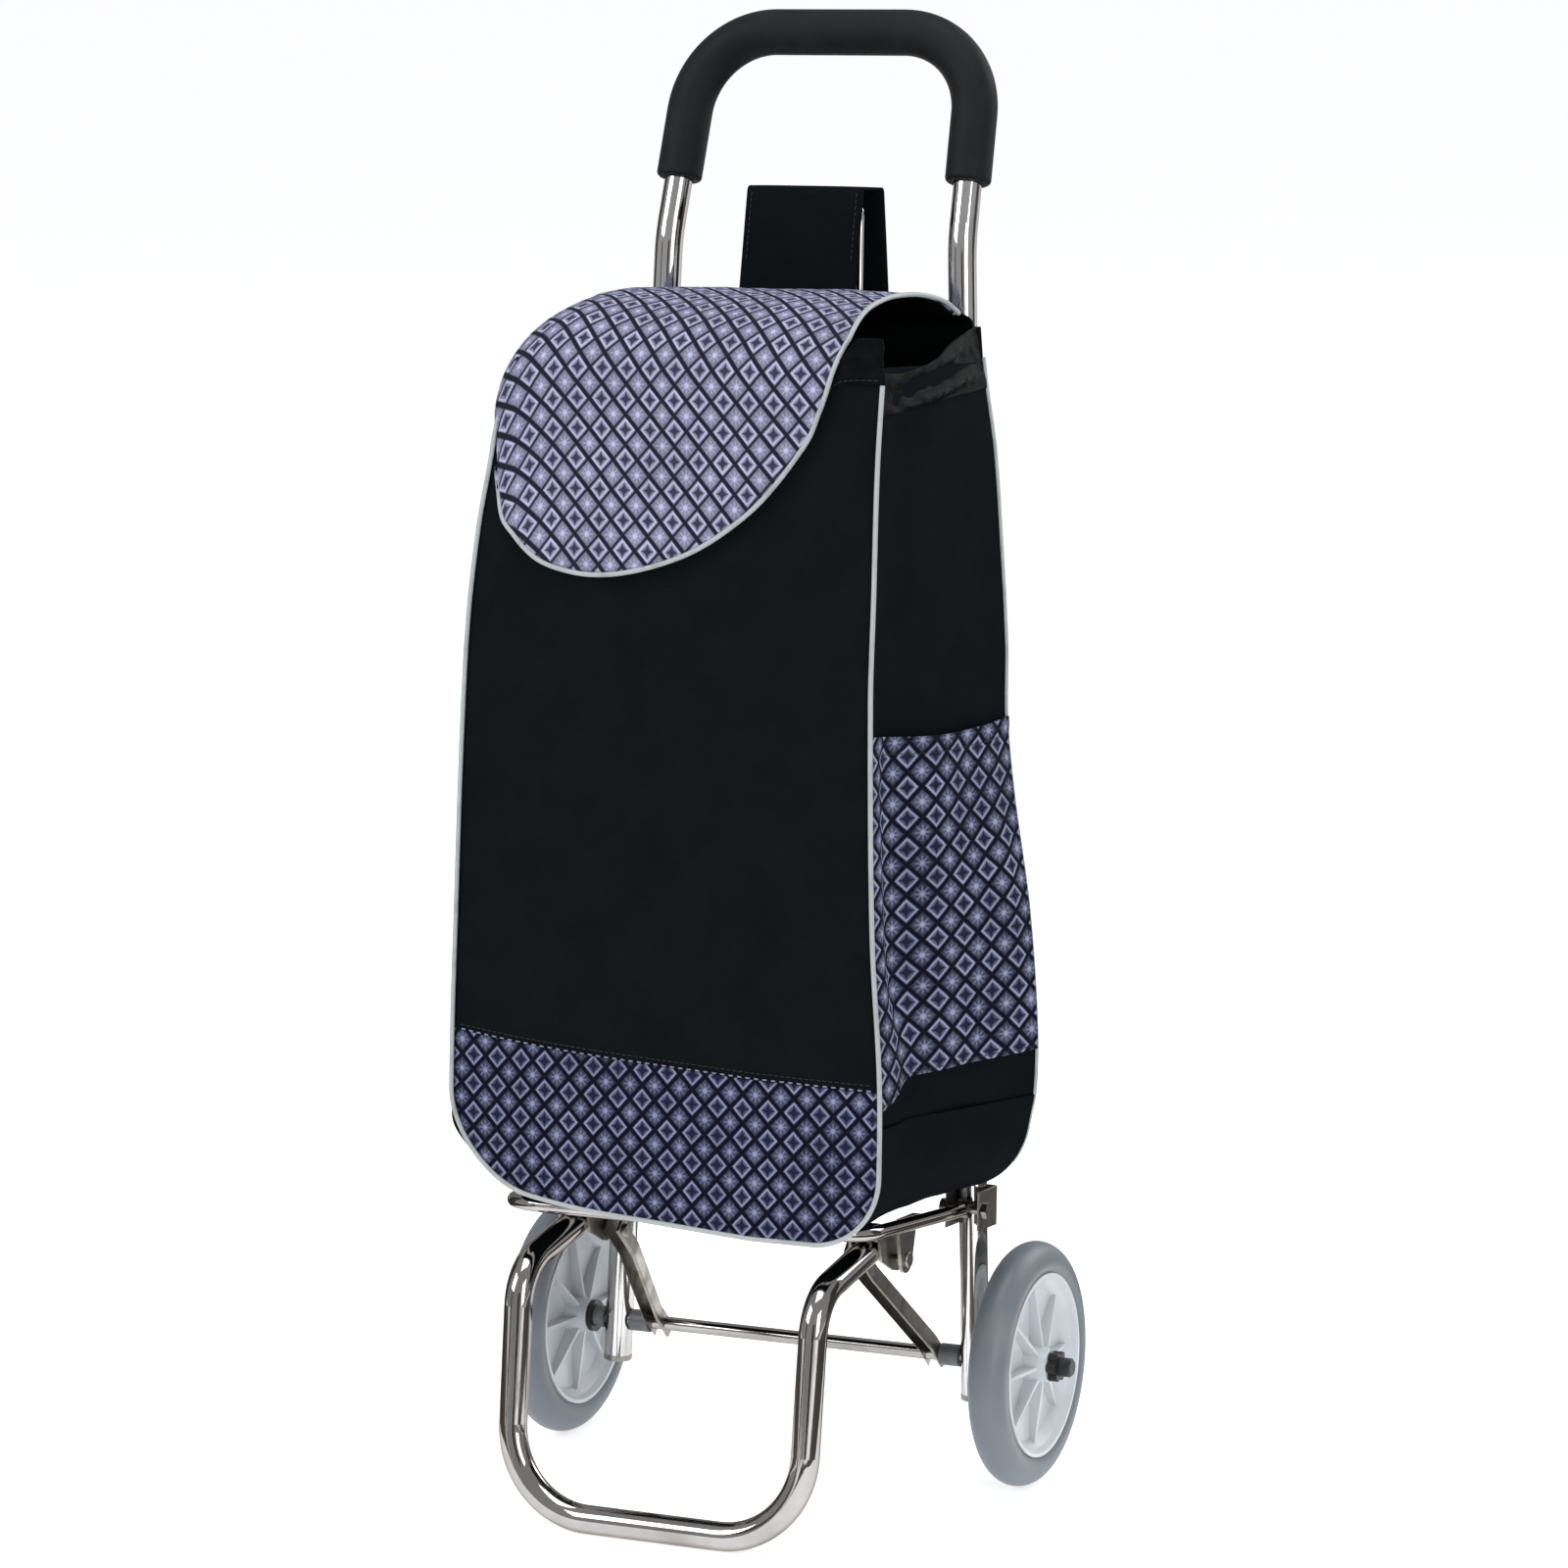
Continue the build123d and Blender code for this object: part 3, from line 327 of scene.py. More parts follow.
def print_cloth(name, pitch, wash, lines, ink_colour):
    """Diamond lattice print. Pitch is a motif's width and height in metres of flat cloth, wash how far
    the dark ground is lifted towards lilac, which on the lid is painted sheen, and lines the half-widths of
    its two sets of dark lines."""
    f = Finish(name, Specular_IOR_Level=0.02)
    uv = f.place("UV")
    u, v, _ = f.split(uv)
    wobble = f.calc("MULTIPLY_ADD", f.noise(uv, 35.0, 2.0), 0.08, -0.04)
    a = f.calc("ADD", f.calc("DIVIDE", u, pitch[0]), wobble)
    b = f.calc("DIVIDE", v, pitch[1])
    p, q = f.calc("ADD", a, b), f.calc("SUBTRACT", a, b)
    near_p, near_q = f.calc("ROUND", p), f.calc("ROUND", q)
    off_p, off_q = f.calc("SUBTRACT", p, near_p), f.calc("SUBTRACT", q, near_q)
    reach_p, reach_q = f.calc("ABSOLUTE", off_p), f.calc("ABSOLUTE", off_q)
    reach = f.calc("MAXIMUM", reach_p, reach_q)
    parity = f.calc("PINGPONG", f.calc("ADD", near_p, near_q), 1.0)
    fray = f.noise(uv, 1500.0, 2.0)
    ragged = f.calc("MULTIPLY_ADD", fray, 0.09, -0.045)
    edge = f.calc("ADD", reach, ragged)
    dx = f.calc("ADD", off_p, off_q)
    dy = f.calc("SUBTRACT", off_p, off_q)
    worn = f.noise(uv, 22.0, 4.0, 0.6)
    # diamond: a pale ring round lilac corners and a dark four-pointed star
    ring = f.calc("MULTIPLY", f.soft(edge, 0.25, 0.30), f.calc("SUBTRACT", 1.0, f.soft(edge, 0.35, 0.41)))
    star_x = f.calc("SQRT", f.calc("ABSOLUTE", dx))
    star_y = f.calc("SQRT", f.calc("ABSOLUTE", dy))
    star = f.calc("SUBTRACT", 1.0, f.soft(f.calc("ADD", star_x, star_y), 0.72, 0.95))
    middle = f.calc("SUBTRACT", 1.0, f.soft(edge, 0.22, 0.27))
    middle = f.calc("MULTIPLY", middle, f.calc("SUBTRACT", 1.0, star))
    diamond = f.calc("MAXIMUM", ring, f.calc("MULTIPLY", middle, 0.35))
    # flower: eight pale rays round a bright centre, in a lilac haze that fills its cell
    radius = f.calc("SQRT", f.calc("ADD", f.calc("POWER", dx, 2.0), f.calc("POWER", dy, 2.0)))
    angle = f.calc("ARCTAN2", dy, dx)
    petals = f.soft(f.calc("COSINE", f.calc("MULTIPLY", angle, 8.0)), -0.4, 0.5)
    tips = f.soft(f.calc("ADD", radius, ragged), 0.3, 0.72)
    petals = f.calc("MULTIPLY", petals, f.calc("SUBTRACT", 1.0, tips))
    heart = f.calc("SUBTRACT", 1.0, f.soft(radius, 0.06, 0.34))
    haze = f.calc("SUBTRACT", 1.0, f.soft(edge, 0.30, 0.44))
    flower = f.calc("MAXIMUM", f.calc("MULTIPLY", petals, 0.6), f.calc("MULTIPLY", heart, 1.25))
    flower = f.calc("MAXIMUM", flower, f.calc("MULTIPLY", haze, f.between(worn, 0.3, 0.7, 0.06, 0.3)))
    other_cell = f.calc("SUBTRACT", 1.0, parity)
    ink = f.calc("ADD", f.calc("MULTIPLY", diamond, other_cell), f.calc("MULTIPLY", flower, parity))
    line_p = f.soft(reach_p, 0.5 - lines[0] * 1.5, 0.5 - lines[0] * 0.7)
    line_q = f.soft(reach_q, 0.5 - lines[1] * 1.5, 0.5 - lines[1] * 0.7)
    line = f.calc("MAXIMUM", line_p, line_q)
    ink = f.calc("MULTIPLY", ink, f.between(worn, 0.3, 0.7, 0.62, 1.1))
    # the dark ground lifted towards the ink colour by wash; on the lid this lift is painted sheen
    lifted = f.between(fray, 0.3, 0.7, wash * 0.7, wash * 1.2)
    ground = f.mix(lifted, (0.006, 0.009, 0.022), ink_colour)
    colour = f.mix(ink, ground, ink_colour)
    hollow = f.calc("MULTIPLY", f.calc("SUBTRACT", 1.0, f.soft(edge, 0.20, 0.26)), other_cell)
    colour = f.mix(f.calc("MULTIPLY", hollow, f.calc("MULTIPLY", star, 0.8)), colour, (0.012, 0.013, 0.035))
    colour = f.mix(f.calc("MULTIPLY", line, 0.92), colour, (0.0028, 0.0032, 0.0068))
    weave = weave_height(f, uv, WEAVE)
    f.set("Base Color", f.mix(f.between(weave, -1.0, 1.0, 0.0, 0.16), colour, (0.01, 0.01, 0.02)))
    f.set("Roughness", f.between(worn, 0.3, 0.7, 0.55, 0.7))
    f.bump((f.noise(uv, 140.0, 3.0), 0.1, 0.0008), (weave, 0.3, 0.0002))
    return f.material


def piping_cloth():
    f = Finish("piping", Specular_IOR_Level=0.5, Coat_Weight=0.15, Coat_Roughness=0.35)
    uv = f.place("UV")
    u, v, _ = f.split(uv)
    twill = f.calc("SINE", f.calc("MULTIPLY", f.calc("ADD", u, v), TURN / (0.9 * MM)))
    dirt = f.noise(uv, 45.0, 4.0, 0.65)
    f.set("Base Color", f.mix(f.soft(dirt, 0.45, 0.8), (0.33, 0.355, 0.36), (0.22, 0.24, 0.25)))
    f.set("Roughness", f.between(dirt, 0.3, 0.7, 0.38, 0.55))
    f.bump((twill, 0.22, 0.0003))
    return f.material


def thread(name, colour):
    f = Finish(name, Sheen_Weight=0.04)
    spot = f.place()
    twist = f.noise(spot, 2500.0, 2.0)
    f.set("Base Color", f.mix(twist, colour, tuple(c * 0.6 for c in colour)))
    f.set("Roughness", f.between(twist, 0.3, 0.7, 0.5, 0.7))
    return f.material


# ---------------------------------------------------------------- mesh helpers
def link(name, points, faces, material, uvs=None, smooth=True):
    """New mesh object; uvs are per point."""
    mesh = bpy.data.meshes.new(name)
    mesh.from_pydata([tuple(p) for p in points], [], faces)
    if uvs:
        layer = mesh.uv_layers.new(name="flat")
        for loop in mesh.loops:
            layer.data[loop.index].uv = uvs[loop.vertex_index]
    mesh.polygons.foreach_set("use_smooth", [smooth] * len(mesh.polygons))
    mesh.update()
    made = bpy.data.objects.new(name, mesh)
    made.data.materials.append(material)
    bpy.context.scene.collection.objects.link(made)
    return made


def thicken(piece, thick):
    """Gives a sheet its thickness in millimetres, inwards from its outer face."""
    body = piece.modifiers.new("thickness", "SOLIDIFY")
    body.thickness = thick * MM
    body.offset = -1.0


def cloth(name, place, across, along, material, thick=1.2, flip=False):
    """Sheet of cloth from place(s, t), which gives a point and its flat coordinates in millimetres.
    Its outer face is the one that place describes; the cloth's thickness goes inwards."""
    points, uvs, faces = [], [], []
    for i in range(along + 1):
        for j in range(across + 1):
            point, flat = place(j / across, i / along)
            points.append(point)
            uvs.append((flat[0] * MM, flat[1] * MM))
    for i in range(along):
        for j in range(across):
            a = i * (across + 1) + j
            face = (a, a + 1, a + across + 2, a + across + 1)
            faces.append(face[::-1] if flip else face)
    made = link(name, points, faces, material, uvs)
    thicken(made, thick)
    return made


def tube(name, points, radius, material, sides=10):
    """Round bead, closed at both ends, along points that lie close together."""
    ring, uvs, faces, run = [], [], [], 0.0
    count = len(points)
    normal = None
    for i, point in enumerate(points):
        before, after = points[max(i - 1, 0)], points[min(i + 1, count - 1)]
        ahead = (after - before).normalized()
        if normal is None:
            normal = ahead.orthogonal().normalized()
        normal = (normal - ahead * normal.dot(ahead)).normalized()
        other = ahead.cross(normal)
        run += (point - points[i - 1]).length if i else 0.0
        for k in range(sides):
            turn = TURN * k / sides
            ring.append(point + (normal * math.cos(turn) + other * math.sin(turn)) * radius * MM)
            uvs.append((k / sides * TURN * radius * MM, run))
    for i in range(count - 1):
        for k in range(sides):
            a, b = i * sides + k, i * sides + (k + 1) % sides
            faces.append((a, b, b + sides, a + sides))
    faces.append(tuple(range(sides))[::-1])
    faces.append(tuple(range((count - 1) * sides, count * sides)))
    return link(name, ring, faces, material, uvs)


def stitches(name, rows, material, pitch=4.2, length=2.9, wide=0.55):
    """Rows of thread stitches; each row is points on the cloth and the cloth's outward direction."""
    points, faces = [], []
    for row, outward in rows:
        run, target = 0.0, pitch / 2
        for a, b in zip(row, row[1:]):
            step = (b - a).length / MM
            while step and run + step >= target:
                middle = a.lerp(b, (target - run) / step)
                ahead = (b - a).normalized()
                side = ahead.cross(outward).normalized()
                first = len(points)
                for share, lift in ((-0.5, 0.0), (-0.3, 0.7), (0.3, 0.7), (0.5, 0.0)):
                    core = middle + ahead * share * length * MM + outward * (lift * wide * MM)
                    for x, y in ((1, -0.5), (0.45, 0.6), (-0.45, 0.6), (-1, -0.5)):
                        points.append(core + side * (x * wide / 2 * MM) + outward * (y * wide / 2 * MM))
                for ring in range(3):
                    for k in range(4):
                        base, nxt = first + ring * 4, first + ring * 4 + 4
                        faces.append((base + k, base + (k + 1) % 4, nxt + (k + 1) % 4, nxt + k))
                faces.append(tuple(first + k for k in (3, 2, 1, 0)))
                faces.append(tuple(first + 12 + k for k in range(4)))
                target += pitch
            run += step
    return link(name, points, faces, material)


def smooth_step(value, low, high):
    t = min(max((value - low) / (high - low), 0.0), 1.0)
    return t * t * (3 - 2 * t)


def spline(points, x):
    """Smooth curve through (x, y) points in rising x."""
    if x <= points[0][0]:
        return points[0][1]
    if x >= points[-1][0]:
        return points[-1][1]
    k = next(i for i in range(len(points) - 1) if x <= points[i + 1][0])

    def slope(i):
        low, high = points[max(i - 1, 0)], points[min(i + 1, len(points) - 1)]
        return (high[1] - low[1]) / (high[0] - low[0])

    (x0, y0), (x1, y1) = points[k], points[k + 1]
    h = x1 - x0
    t = (x - x0) / h
    return (y0 * (1 + 2 * t) * (1 - t) ** 2 + y1 * t * t * (3 - 2 * t)
            + h * slope(k) * t * (1 - t) ** 2 - h * slope(k + 1) * t * t * (1 - t))


def ripple(x, y, scale_x, scale_y, seed):
    return noise.noise(Vector((x / scale_x, y / scale_y, seed)))


def folds(x, y, lines):
    """Height of soft folds; each is (x, y of one end, x, y of the other, width, height)."""
    total = 0.0
    for x0, y0, x1, y1, width, height in lines:
        dx, dy = x1 - x0, y1 - y0
        t = ((x - x0) * dx + (y - y0) * dy) / (dx * dx + dy * dy)
        near = min(max(t, 0.0), 1.0)
        gap = math.hypot(x - x0 - near * dx, y - y0 - near * dy)
        total += (height * math.exp(-(gap / width) ** 2) * smooth_step(t, -0.25, 0.3)
                  * (1 - smooth_step(t, 0.7, 1.25)))
    return total


# ---------------------------------------------------------------- the bag's shape
FRONT_V, BACK_V = -200.5, -11.0
PANEL_LOW, BASE_LOW, SEAM_W = 107.5, 119.0, 185.0
FRONT_TOP, BACK_TOP = 671.0, 694.0
LEFT_CORNER, RIGHT_CORNER, BACK_CORNER = 60.0, 46.0, 50.0
BAND_LEFT, BAND_RIGHT = 217.0, 209.0     # printed band's top edge at the two sides
# edges of the front panel and half-width of the back, by height; the filled bag slumps to its right
FRONT_LEFT = [(100.0, -160.5), (228.0, -160.0), (308.0, -158.3), (418.0, -155.5), (500.0, -151.5),
              (560.0, -144.5), (600.0, -137.0), (630.0, -131.5), (671.0, -119.0)]
FRONT_RIGHT = [(100.0, 148.8), (209.0, 148.6), (310.0, 141.3), (457.0, 137.2), (521.0, 138.0), (607.0, 139.0),
               (671.0, 142.0)]
BACK_HALF = [(100.0, 172.5), (163.0, 173.5), (188.0, 177.5), (232.0, 177.5), (310.0, 170.0), (384.0, 157.5),
             (435.0, 151.3), (483.0, 150.3), (552.0, 145.0), (614.0, 139.0), (662.0, 131.0), (700.0, 127.0)]
# hollow down each side: its share of the depth and its depth in millimetres, by height
VALLEY_S = [(163.0, 0.3), (205.0, 0.28), (300.0, 0.2), (440.0, 0.17), (671.0, 0.17)]
VALLEY_DEEP = [(163.0, 2.0), (215.0, 7.0), (300.0, 9.5), (420.0, 8.0), (520.0, 4.0), (671.0, 1.0)]
POCKET_LOW, POCKET_TOP = 211.0, 437.0
SIDE_CLOTH, FLOOR_CLOTH = 196.0, 190.0   # depth of the sides' and the floor's cloth as it lies flat


def mix(a, b, share):
    return a + (b - a) * share


def corner_inset(w, low, radius):
    rise = low + radius - w
    return radius - math.sqrt(max(radius ** 2 - rise ** 2, 0.0)) if rise > 0 else 0.0


def tilt(x):
    """How far the front panel's lower edge rises towards its left corner."""
    return 0.064 * max(60.0 - x, 0.0) + 0.0009 * max(-40.0 - x, 0.0) ** 2


def front_edges(w):
    return (spline(FRONT_LEFT, w) + corner_inset(w, PANEL_LOW, LEFT_CORNER),
            spline(FRONT_RIGHT, w) - corner_inset(w, PANEL_LOW, RIGHT_CORNER))


FRONT_FOLDS = [(-130, 560, -60, 470, 26, 2.2), (120, 640, 60, 500, 24, -1.8), (-140, 250, -70, 330, 22, 1.6),
               (140, 250, 60, 380, 26, 1.8), (-20, 630, 10, 400, 40, -1.6), (90, 230, 20, 300, 18, 1.4),
               (-110, 420, -120, 260, 26, -1.5)]


def front_out(x, w):
    """How far the front cloth stands out, at a place on it."""
    left, right = front_edges(min(w, FRONT_TOP))
    u = min(max(2 * (x - left) / (right - left) - 1, -1.0), 1.0)
    rise = min(max((w - PANEL_LOW) / (FRONT_TOP - PANEL_LOW), 0.0), 1.0)
    belly = (1 - u ** 4) * (2.0 + 4.5 * math.sin(math.pi * rise))
    calm = smooth_step(1 - abs(u), 0.0, 0.12)
    return belly + calm * (folds(x, w, FRONT_FOLDS) + 1.3 * ripple(x, w, 90, 130, 0.3)
                           + 0.35 * ripple(x, w, 22, 40, 2.7))


def front_spot(u, w):
    """Place on the front panel, across and up, at a share of its width."""
    left, right = front_edges(w)
    x = mix(left, right, (u + 1) / 2)
    return x, w + tilt(x) * (1 - smooth_step(w, PANEL_LOW, 300.0))


def front_point(u, w):
    x, high = front_spot(u, w)
    return at(x, FRONT_V - front_out(x, w), high)


def side_x(side, s, w):
    """Half-width of the bag at a share of its depth and a height."""
    front = abs(spline(FRONT_LEFT if side < 0 else FRONT_RIGHT, w)) - 0.8
    back = spline(BACK_HALF, w)
    valley, deep = spline(VALLEY_S, w), spline(VALLEY_DEEP, w)
    run = smooth_step(s, valley * 0.6, 1.25) / smooth_step(1.0, valley * 0.6, 1.25)
    dip = math.exp(-((s - valley) / (0.09 if s < valley else 0.16)) ** 2)
    dip -= (1 - s) * math.exp(-(valley / 0.09) ** 2)
    return front + (back - front) * run - deep * dip


SIDE_FOLDS = [(-185, 640, -40, 668, 7, 3.0), (-190, 622, -60, 650, 8, -2.2), (-188, 600, -80, 636, 9, 2.2),
              (-150, 560, -60, 480, 22, 2.0), (-60, 600, -30, 450, 18, -1.8), (-170, 250, -90, 180, 16, 2.0),
              (-60, 240, -110, 175, 18, -2.0), (-40, 380, -25, 250, 16, 1.6)]


def side_point(side, s, w, gap=0.0):
    v = FRONT_V + (BACK_V - FRONT_V) * s
    calm = smooth_step(min(s, 1 - s), 0.0, 0.12)
    out = calm * (folds(v, w, SIDE_FOLDS) + 1.6 * ripple(v, w, 60, 90, 4.1 + side)
                  + 0.5 * ripple(v, w, 18, 30, 7.7))
    return at(side * (side_x(side, s, w) + out + gap), v, w)


def side_flat(s, w):
    return (s * SIDE_CLOTH, w)


def fit_bag(piece, slot, *nodes):
    """The bag hangs from the frame, and the nodes it replaces are hidden."""
    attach(piece, "frame")
    finish_soft(piece, slot, *nodes)


def finish_soft(piece, slot, *nodes, ahead=0.0):
    """Hides the nodes that the piece replaces and gives the piece its own mesh; ahead is not used."""
    if nodes:
        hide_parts(*nodes)
    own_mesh(piece)


def band_edge(u):
    return mix(BAND_LEFT, BAND_RIGHT, (u + 1) / 2)


def make_front(black, printed, dark_thread, pale_thread):
    def panel(s, t):
        u = 2 * s - 1
        w = mix(band_edge(u), FRONT_TOP, t)
        return front_point(u, w), front_spot(u, w)

    def band(s, t):
        u = 2 * s - 1
        w = mix(PANEL_LOW, band_edge(u), t ** 1.25)
        return front_point(u, w), front_spot(u, w)

    fit_bag(cloth("front_panel", panel, 72, 110, black), "black_cloth", "bag_front_panel")
    fit_bag(cloth("front_band", band, 72, 48, printed), "print_cloth", "bag_front_band")
    outward = FORWARDS
    rows = []
    for lift in (1.0, 4.5):
        rows.append(([front_point(k / 60 - 1, band_edge(k / 60 - 1) + lift) for k in range(2, 119)], outward))
    fit_bag(stitches("front_stitches", rows[1:], dark_thread), "black_nylon")
    fit_bag(stitches("band_stitches", rows[:1], pale_thread, 6.0, 3.0, 1.1), "print_cloth")


def make_sides(black, printed, dark_thread):
    for side, name in ((-1, "left"), (1, "right")):
        def panel(s, t):
            w = SEAM_W + (FRONT_TOP - SEAM_W) * t
            return side_point(side, s, w), side_flat(s, w)

        wall = cloth(f"side_{name}", panel, 48, 120, black, flip=side < 0)
        fit_bag(wall, "black_cloth", f"bag_side_{name}")

        def pocket(s, t):
            sag = 5.0 * math.sin(math.pi * s)
            top = POCKET_TOP - sag
            low = POCKET_LOW - 14.0 * (1 - smooth_step(s, 0.0, 0.35)) + 5.0 * s
            w = low + (top - low) * t
            swell = math.sin(math.pi * min(max(s * 1.04 - 0.02, 0.0), 1.0)) ** 0.6
            gap = 1.6 + 3.2 * swell * smooth_step(t, 0.1, 0.9) + 0.9 * swell * smooth_step(t, 0.0, 0.1)
            gap += 0.9 * smooth_step(t, 0.955, 0.965)
            return side_point(side, s, w, gap), side_flat(s, w)

        piece = cloth(f"pocket_{name}", pocket, 48, 100, printed, flip=side < 0)
        fit_bag(piece, "print_cloth", f"side_pocket_{name}")
        outward = Vector((side, 0, 0))
        rows = []
        for height in (0.95, 0.012):
            row = [pocket(0.02 + 0.96 * k / 60, height)[0] + outward * 0.0002 for k in range(61)]
            rows.append((row, outward))
        fit_bag(stitches(f"pocket_stitches_{name}", rows, dark_thread), "black_nylon")


def make_base(black):
    """Floor with rounded lower edges; its front end follows the front panel's corners."""
    def tub(s, t):
        v = mix(FRONT_V, BACK_V, s)
        low = mix(PANEL_LOW + 1.5, BASE_LOW, smooth_step(s, 0.0, 0.8))
        radii = {-1: mix(LEFT_CORNER, BACK_CORNER, s), 1: mix(RIGHT_CORNER, BACK_CORNER, s)}
        flat = [side_x(side, s, SEAM_W) - radii[side] for side in (-1, 1)]
        spans = [SEAM_W - low - radii[-1], math.pi / 2 * radii[-1], sum(flat), math.pi / 2 * radii[1],
                 SEAM_W - low - radii[1]]
        run = t * sum(spans)
        left = run
        for index, span in enumerate(spans):
            if left <= span or index == 4:
                break
            left -= span
        if index in (0, 4):
            side = -1 if index == 0 else 1
            w = SEAM_W - left if index == 0 else low + radii[1] + left
            x = side * side_x(side, s, w)
        elif index in (1, 3):
            side = -1 if index == 1 else 1
            turn = left / radii[side] if index == 1 else math.pi / 2 - left / radii[side]
            w = low + radii[side] * (1 - math.sin(turn))
            x = side * (side_x(side, s, w) - radii[side] * (1 - math.cos(turn)))
        else:
            x, w = -flat[0] + left, low
        calm = smooth_step(min(s, 1 - s), 0.0, 0.1) * smooth_step(min(t, 1 - t), 0.0, 0.06)
        out = calm * (1.4 * ripple(v, run, 34, 50, 5.2) + 0.4 * ripple(v, run, 12, 16, 9.1))
        under = 1 - smooth_step(w, low, low + 30.0)
        w += tilt(x) * (1 - s) * (1 - smooth_step(w, PANEL_LOW, SEAM_W))
        return at(x + math.copysign(out * (1 - under), x), v, w - out * under), (s * FLOOR_CLOTH, run)

    fit_bag(cloth("bag_floor", tub, 44, 170, black, flip=True), "black_cloth", "bag_base")


def back_half(w):
    return spline(BACK_HALF, w) - corner_inset(w, BASE_LOW, BACK_CORNER)


def back_point(u, w):
    x = u * back_half(w)
    calm = smooth_step(1 - abs(u), 0.0, 0.15) * smooth_step(w, BASE_LOW, BASE_LOW + 40)
    out = calm * (1.0 * ripple(x, w, 60, 110, 11.3) + 0.4 * ripple(x, w, 20, 30, 3.9) - 0.6)
    return at(x, BACK_V + out, w)


def make_back(black):
    def panel(s, t):
        u, w = 1 - 2 * s, BASE_LOW + (BACK_TOP - BASE_LOW) * t ** 1.1
        return back_point(u, w), (u * back_half(w), w)

    fit_bag(cloth("back_panel", panel, 60, 120, black), "black_cloth", "bag_back_panel")


# ---------------------------------------------------------------- collar and lid strip
STRIP_HALF, STRIP_CLOTH = 122.0, 28.0    # the strip's half-width, and how deep its cloth lies flat
STRIP_V = [(0.0, -10.3), (0.35, -12.0), (0.7, -22.0), (1.0, -33.0)]
STRIP_W = [(0.0, 690.0), (0.35, 697.5), (0.7, 701.5), (1.0, 703.2)]


def make_collar(fabric, dark_thread):
    """Thin gathered band round the rim: in front, at both sides, and the strip that carries the lid."""
    def gathers(run, share, seed):
        sway = 6.0 * ripple(run, share * 20, 40, 20, seed)
        return (1.5 * math.sin((run + sway) / 3.4 + 5 * share) * (0.35 + 0.65 * share)
                + 1.6 * ripple(run, share * 30, 16, 14, seed + 2)
                + 1.0 * ripple(run, share * 30, 6, 9, seed + 5))

    def front(s, t):
        u = 2 * s - 1
        x = front_spot(u, FRONT_TOP)[0]
        top = (674.0 + 15.0 * smooth_step(x, 109.0, 126.0) - 9.0 * smooth_step(-x, 90.0, 118.0)
               + ripple(x, 0, 24, 1, 3.0))
        low = 652.0 + 8.0 * smooth_step(x, 100.0, 114.0) + 1.2 * ripple(x, 5, 30, 1, 8.0)
        w = mix(low, top, t)
        bold = 1.0 + 1.4 * smooth_step(x, 112.0, 122.0)
        creases = bold * math.sin(w / 2.1 + 1.8 * ripple(x, w, 40, 30, 6.0)) + gathers(x, 0.4, 1.0) * 0.4
        base = front_point(u, min(w, FRONT_TOP))
        tuck = 2.5 * smooth_step(100.0 - x, 0.0, 20.0) * smooth_step(t, 0.2, 0.9)
        out = tuck - 1.6 - 0.45 * creases * smooth_step(t, 0.0, 0.1)
        return base + shift(0, out, max(0.0, w - FRONT_TOP)), (x, w)

    fit_bag(cloth("collar_front", front, 120, 20, fabric, 0.8), "black_nylon")
    for side, name in ((-1, "left"), (1, "right")):
        def wall(s, t):
            v = FRONT_V + 2.0 + (BACK_V - FRONT_V - 3.0) * s
            low = 640.0 + 14.0 * s
            top = 668.0 + 26.0 * smooth_step(s, 0.0, 0.95) - 5.0 * math.sin(math.pi * s)
            w = low + (top - low) * t
            base_w = min(w, FRONT_TOP)
            point = side_point(side, s, base_w)
            wave = math.sin((w - 26.0 * s) / 3.6 + 1.6 * ripple(v, w, 50, 30, 2.0))
            ridges = 2.6 * wave * math.sin(math.pi * min(s * 1.05, 1.0))
            out = 1.0 + (ridges + 1.2 * ripple(v, w, 12, 10, 8.0)) * smooth_step(t, 0.0, 0.15)
            tuck = -5.0 * smooth_step(w, FRONT_TOP - 10, FRONT_TOP + 25)
            return point + shift(side * (out + tuck), 0, w - base_w), (v, w)

        piece = cloth(f"collar_{name}", wall, 70, 30, fabric, 0.8, flip=side < 0)
        fit_bag(piece, "black_nylon")

    def strip(s, t):
        x = STRIP_HALF - 2 * STRIP_HALF * s
        v = spline(STRIP_V, t) + 0.4 * ripple(x, t, 14, 1, 4.0)
        w = spline(STRIP_W, t) + 0.5 * ripple(x, t * 8, 18, 4, 6.0)
        return at(x, v, w), (x, t * STRIP_CLOTH)

    fit_bag(cloth("lid_strip", strip, 60, 10, fabric, 1.0), "black_nylon", "bag_collar")
    outward = FORWARDS
    row = [front(0.01 + 0.98 * k / 60, 0.1)[0] + outward * 0.0004 for k in range(61)]
    fit_bag(stitches("collar_stitches", [(row, outward)], dark_thread), "black_nylon")


# ---------------------------------------------------------------- lid
# the lid's middle line, back and up, from its hinge over the top to the front
LID_LINE = [(-33.0, 703.0), (-50.0, 711.5), (-72.0, 715.0), (-100.0, 715.5), (-130.0, 712.5), (-158.0, 706.5),
            (-180.0, 698.0), (-197.0, 685.5), (-206.5, 669.0), (-208.5, 650.0)]
LID_RUN = [0.0]
for (v0, w0), (v1, w1) in zip(LID_LINE, LID_LINE[1:]):
    LID_RUN.append(LID_RUN[-1] + math.hypot(v1 - v0, w1 - w0))
LID_V = [(run, v) for run, (v, w) in zip(LID_RUN, LID_LINE)]
LID_W = [(run, w) for run, (v, w) in zip(LID_RUN, LID_LINE)]
FALL = LID_RUN[-1]                       # run at which the lid hangs straight down
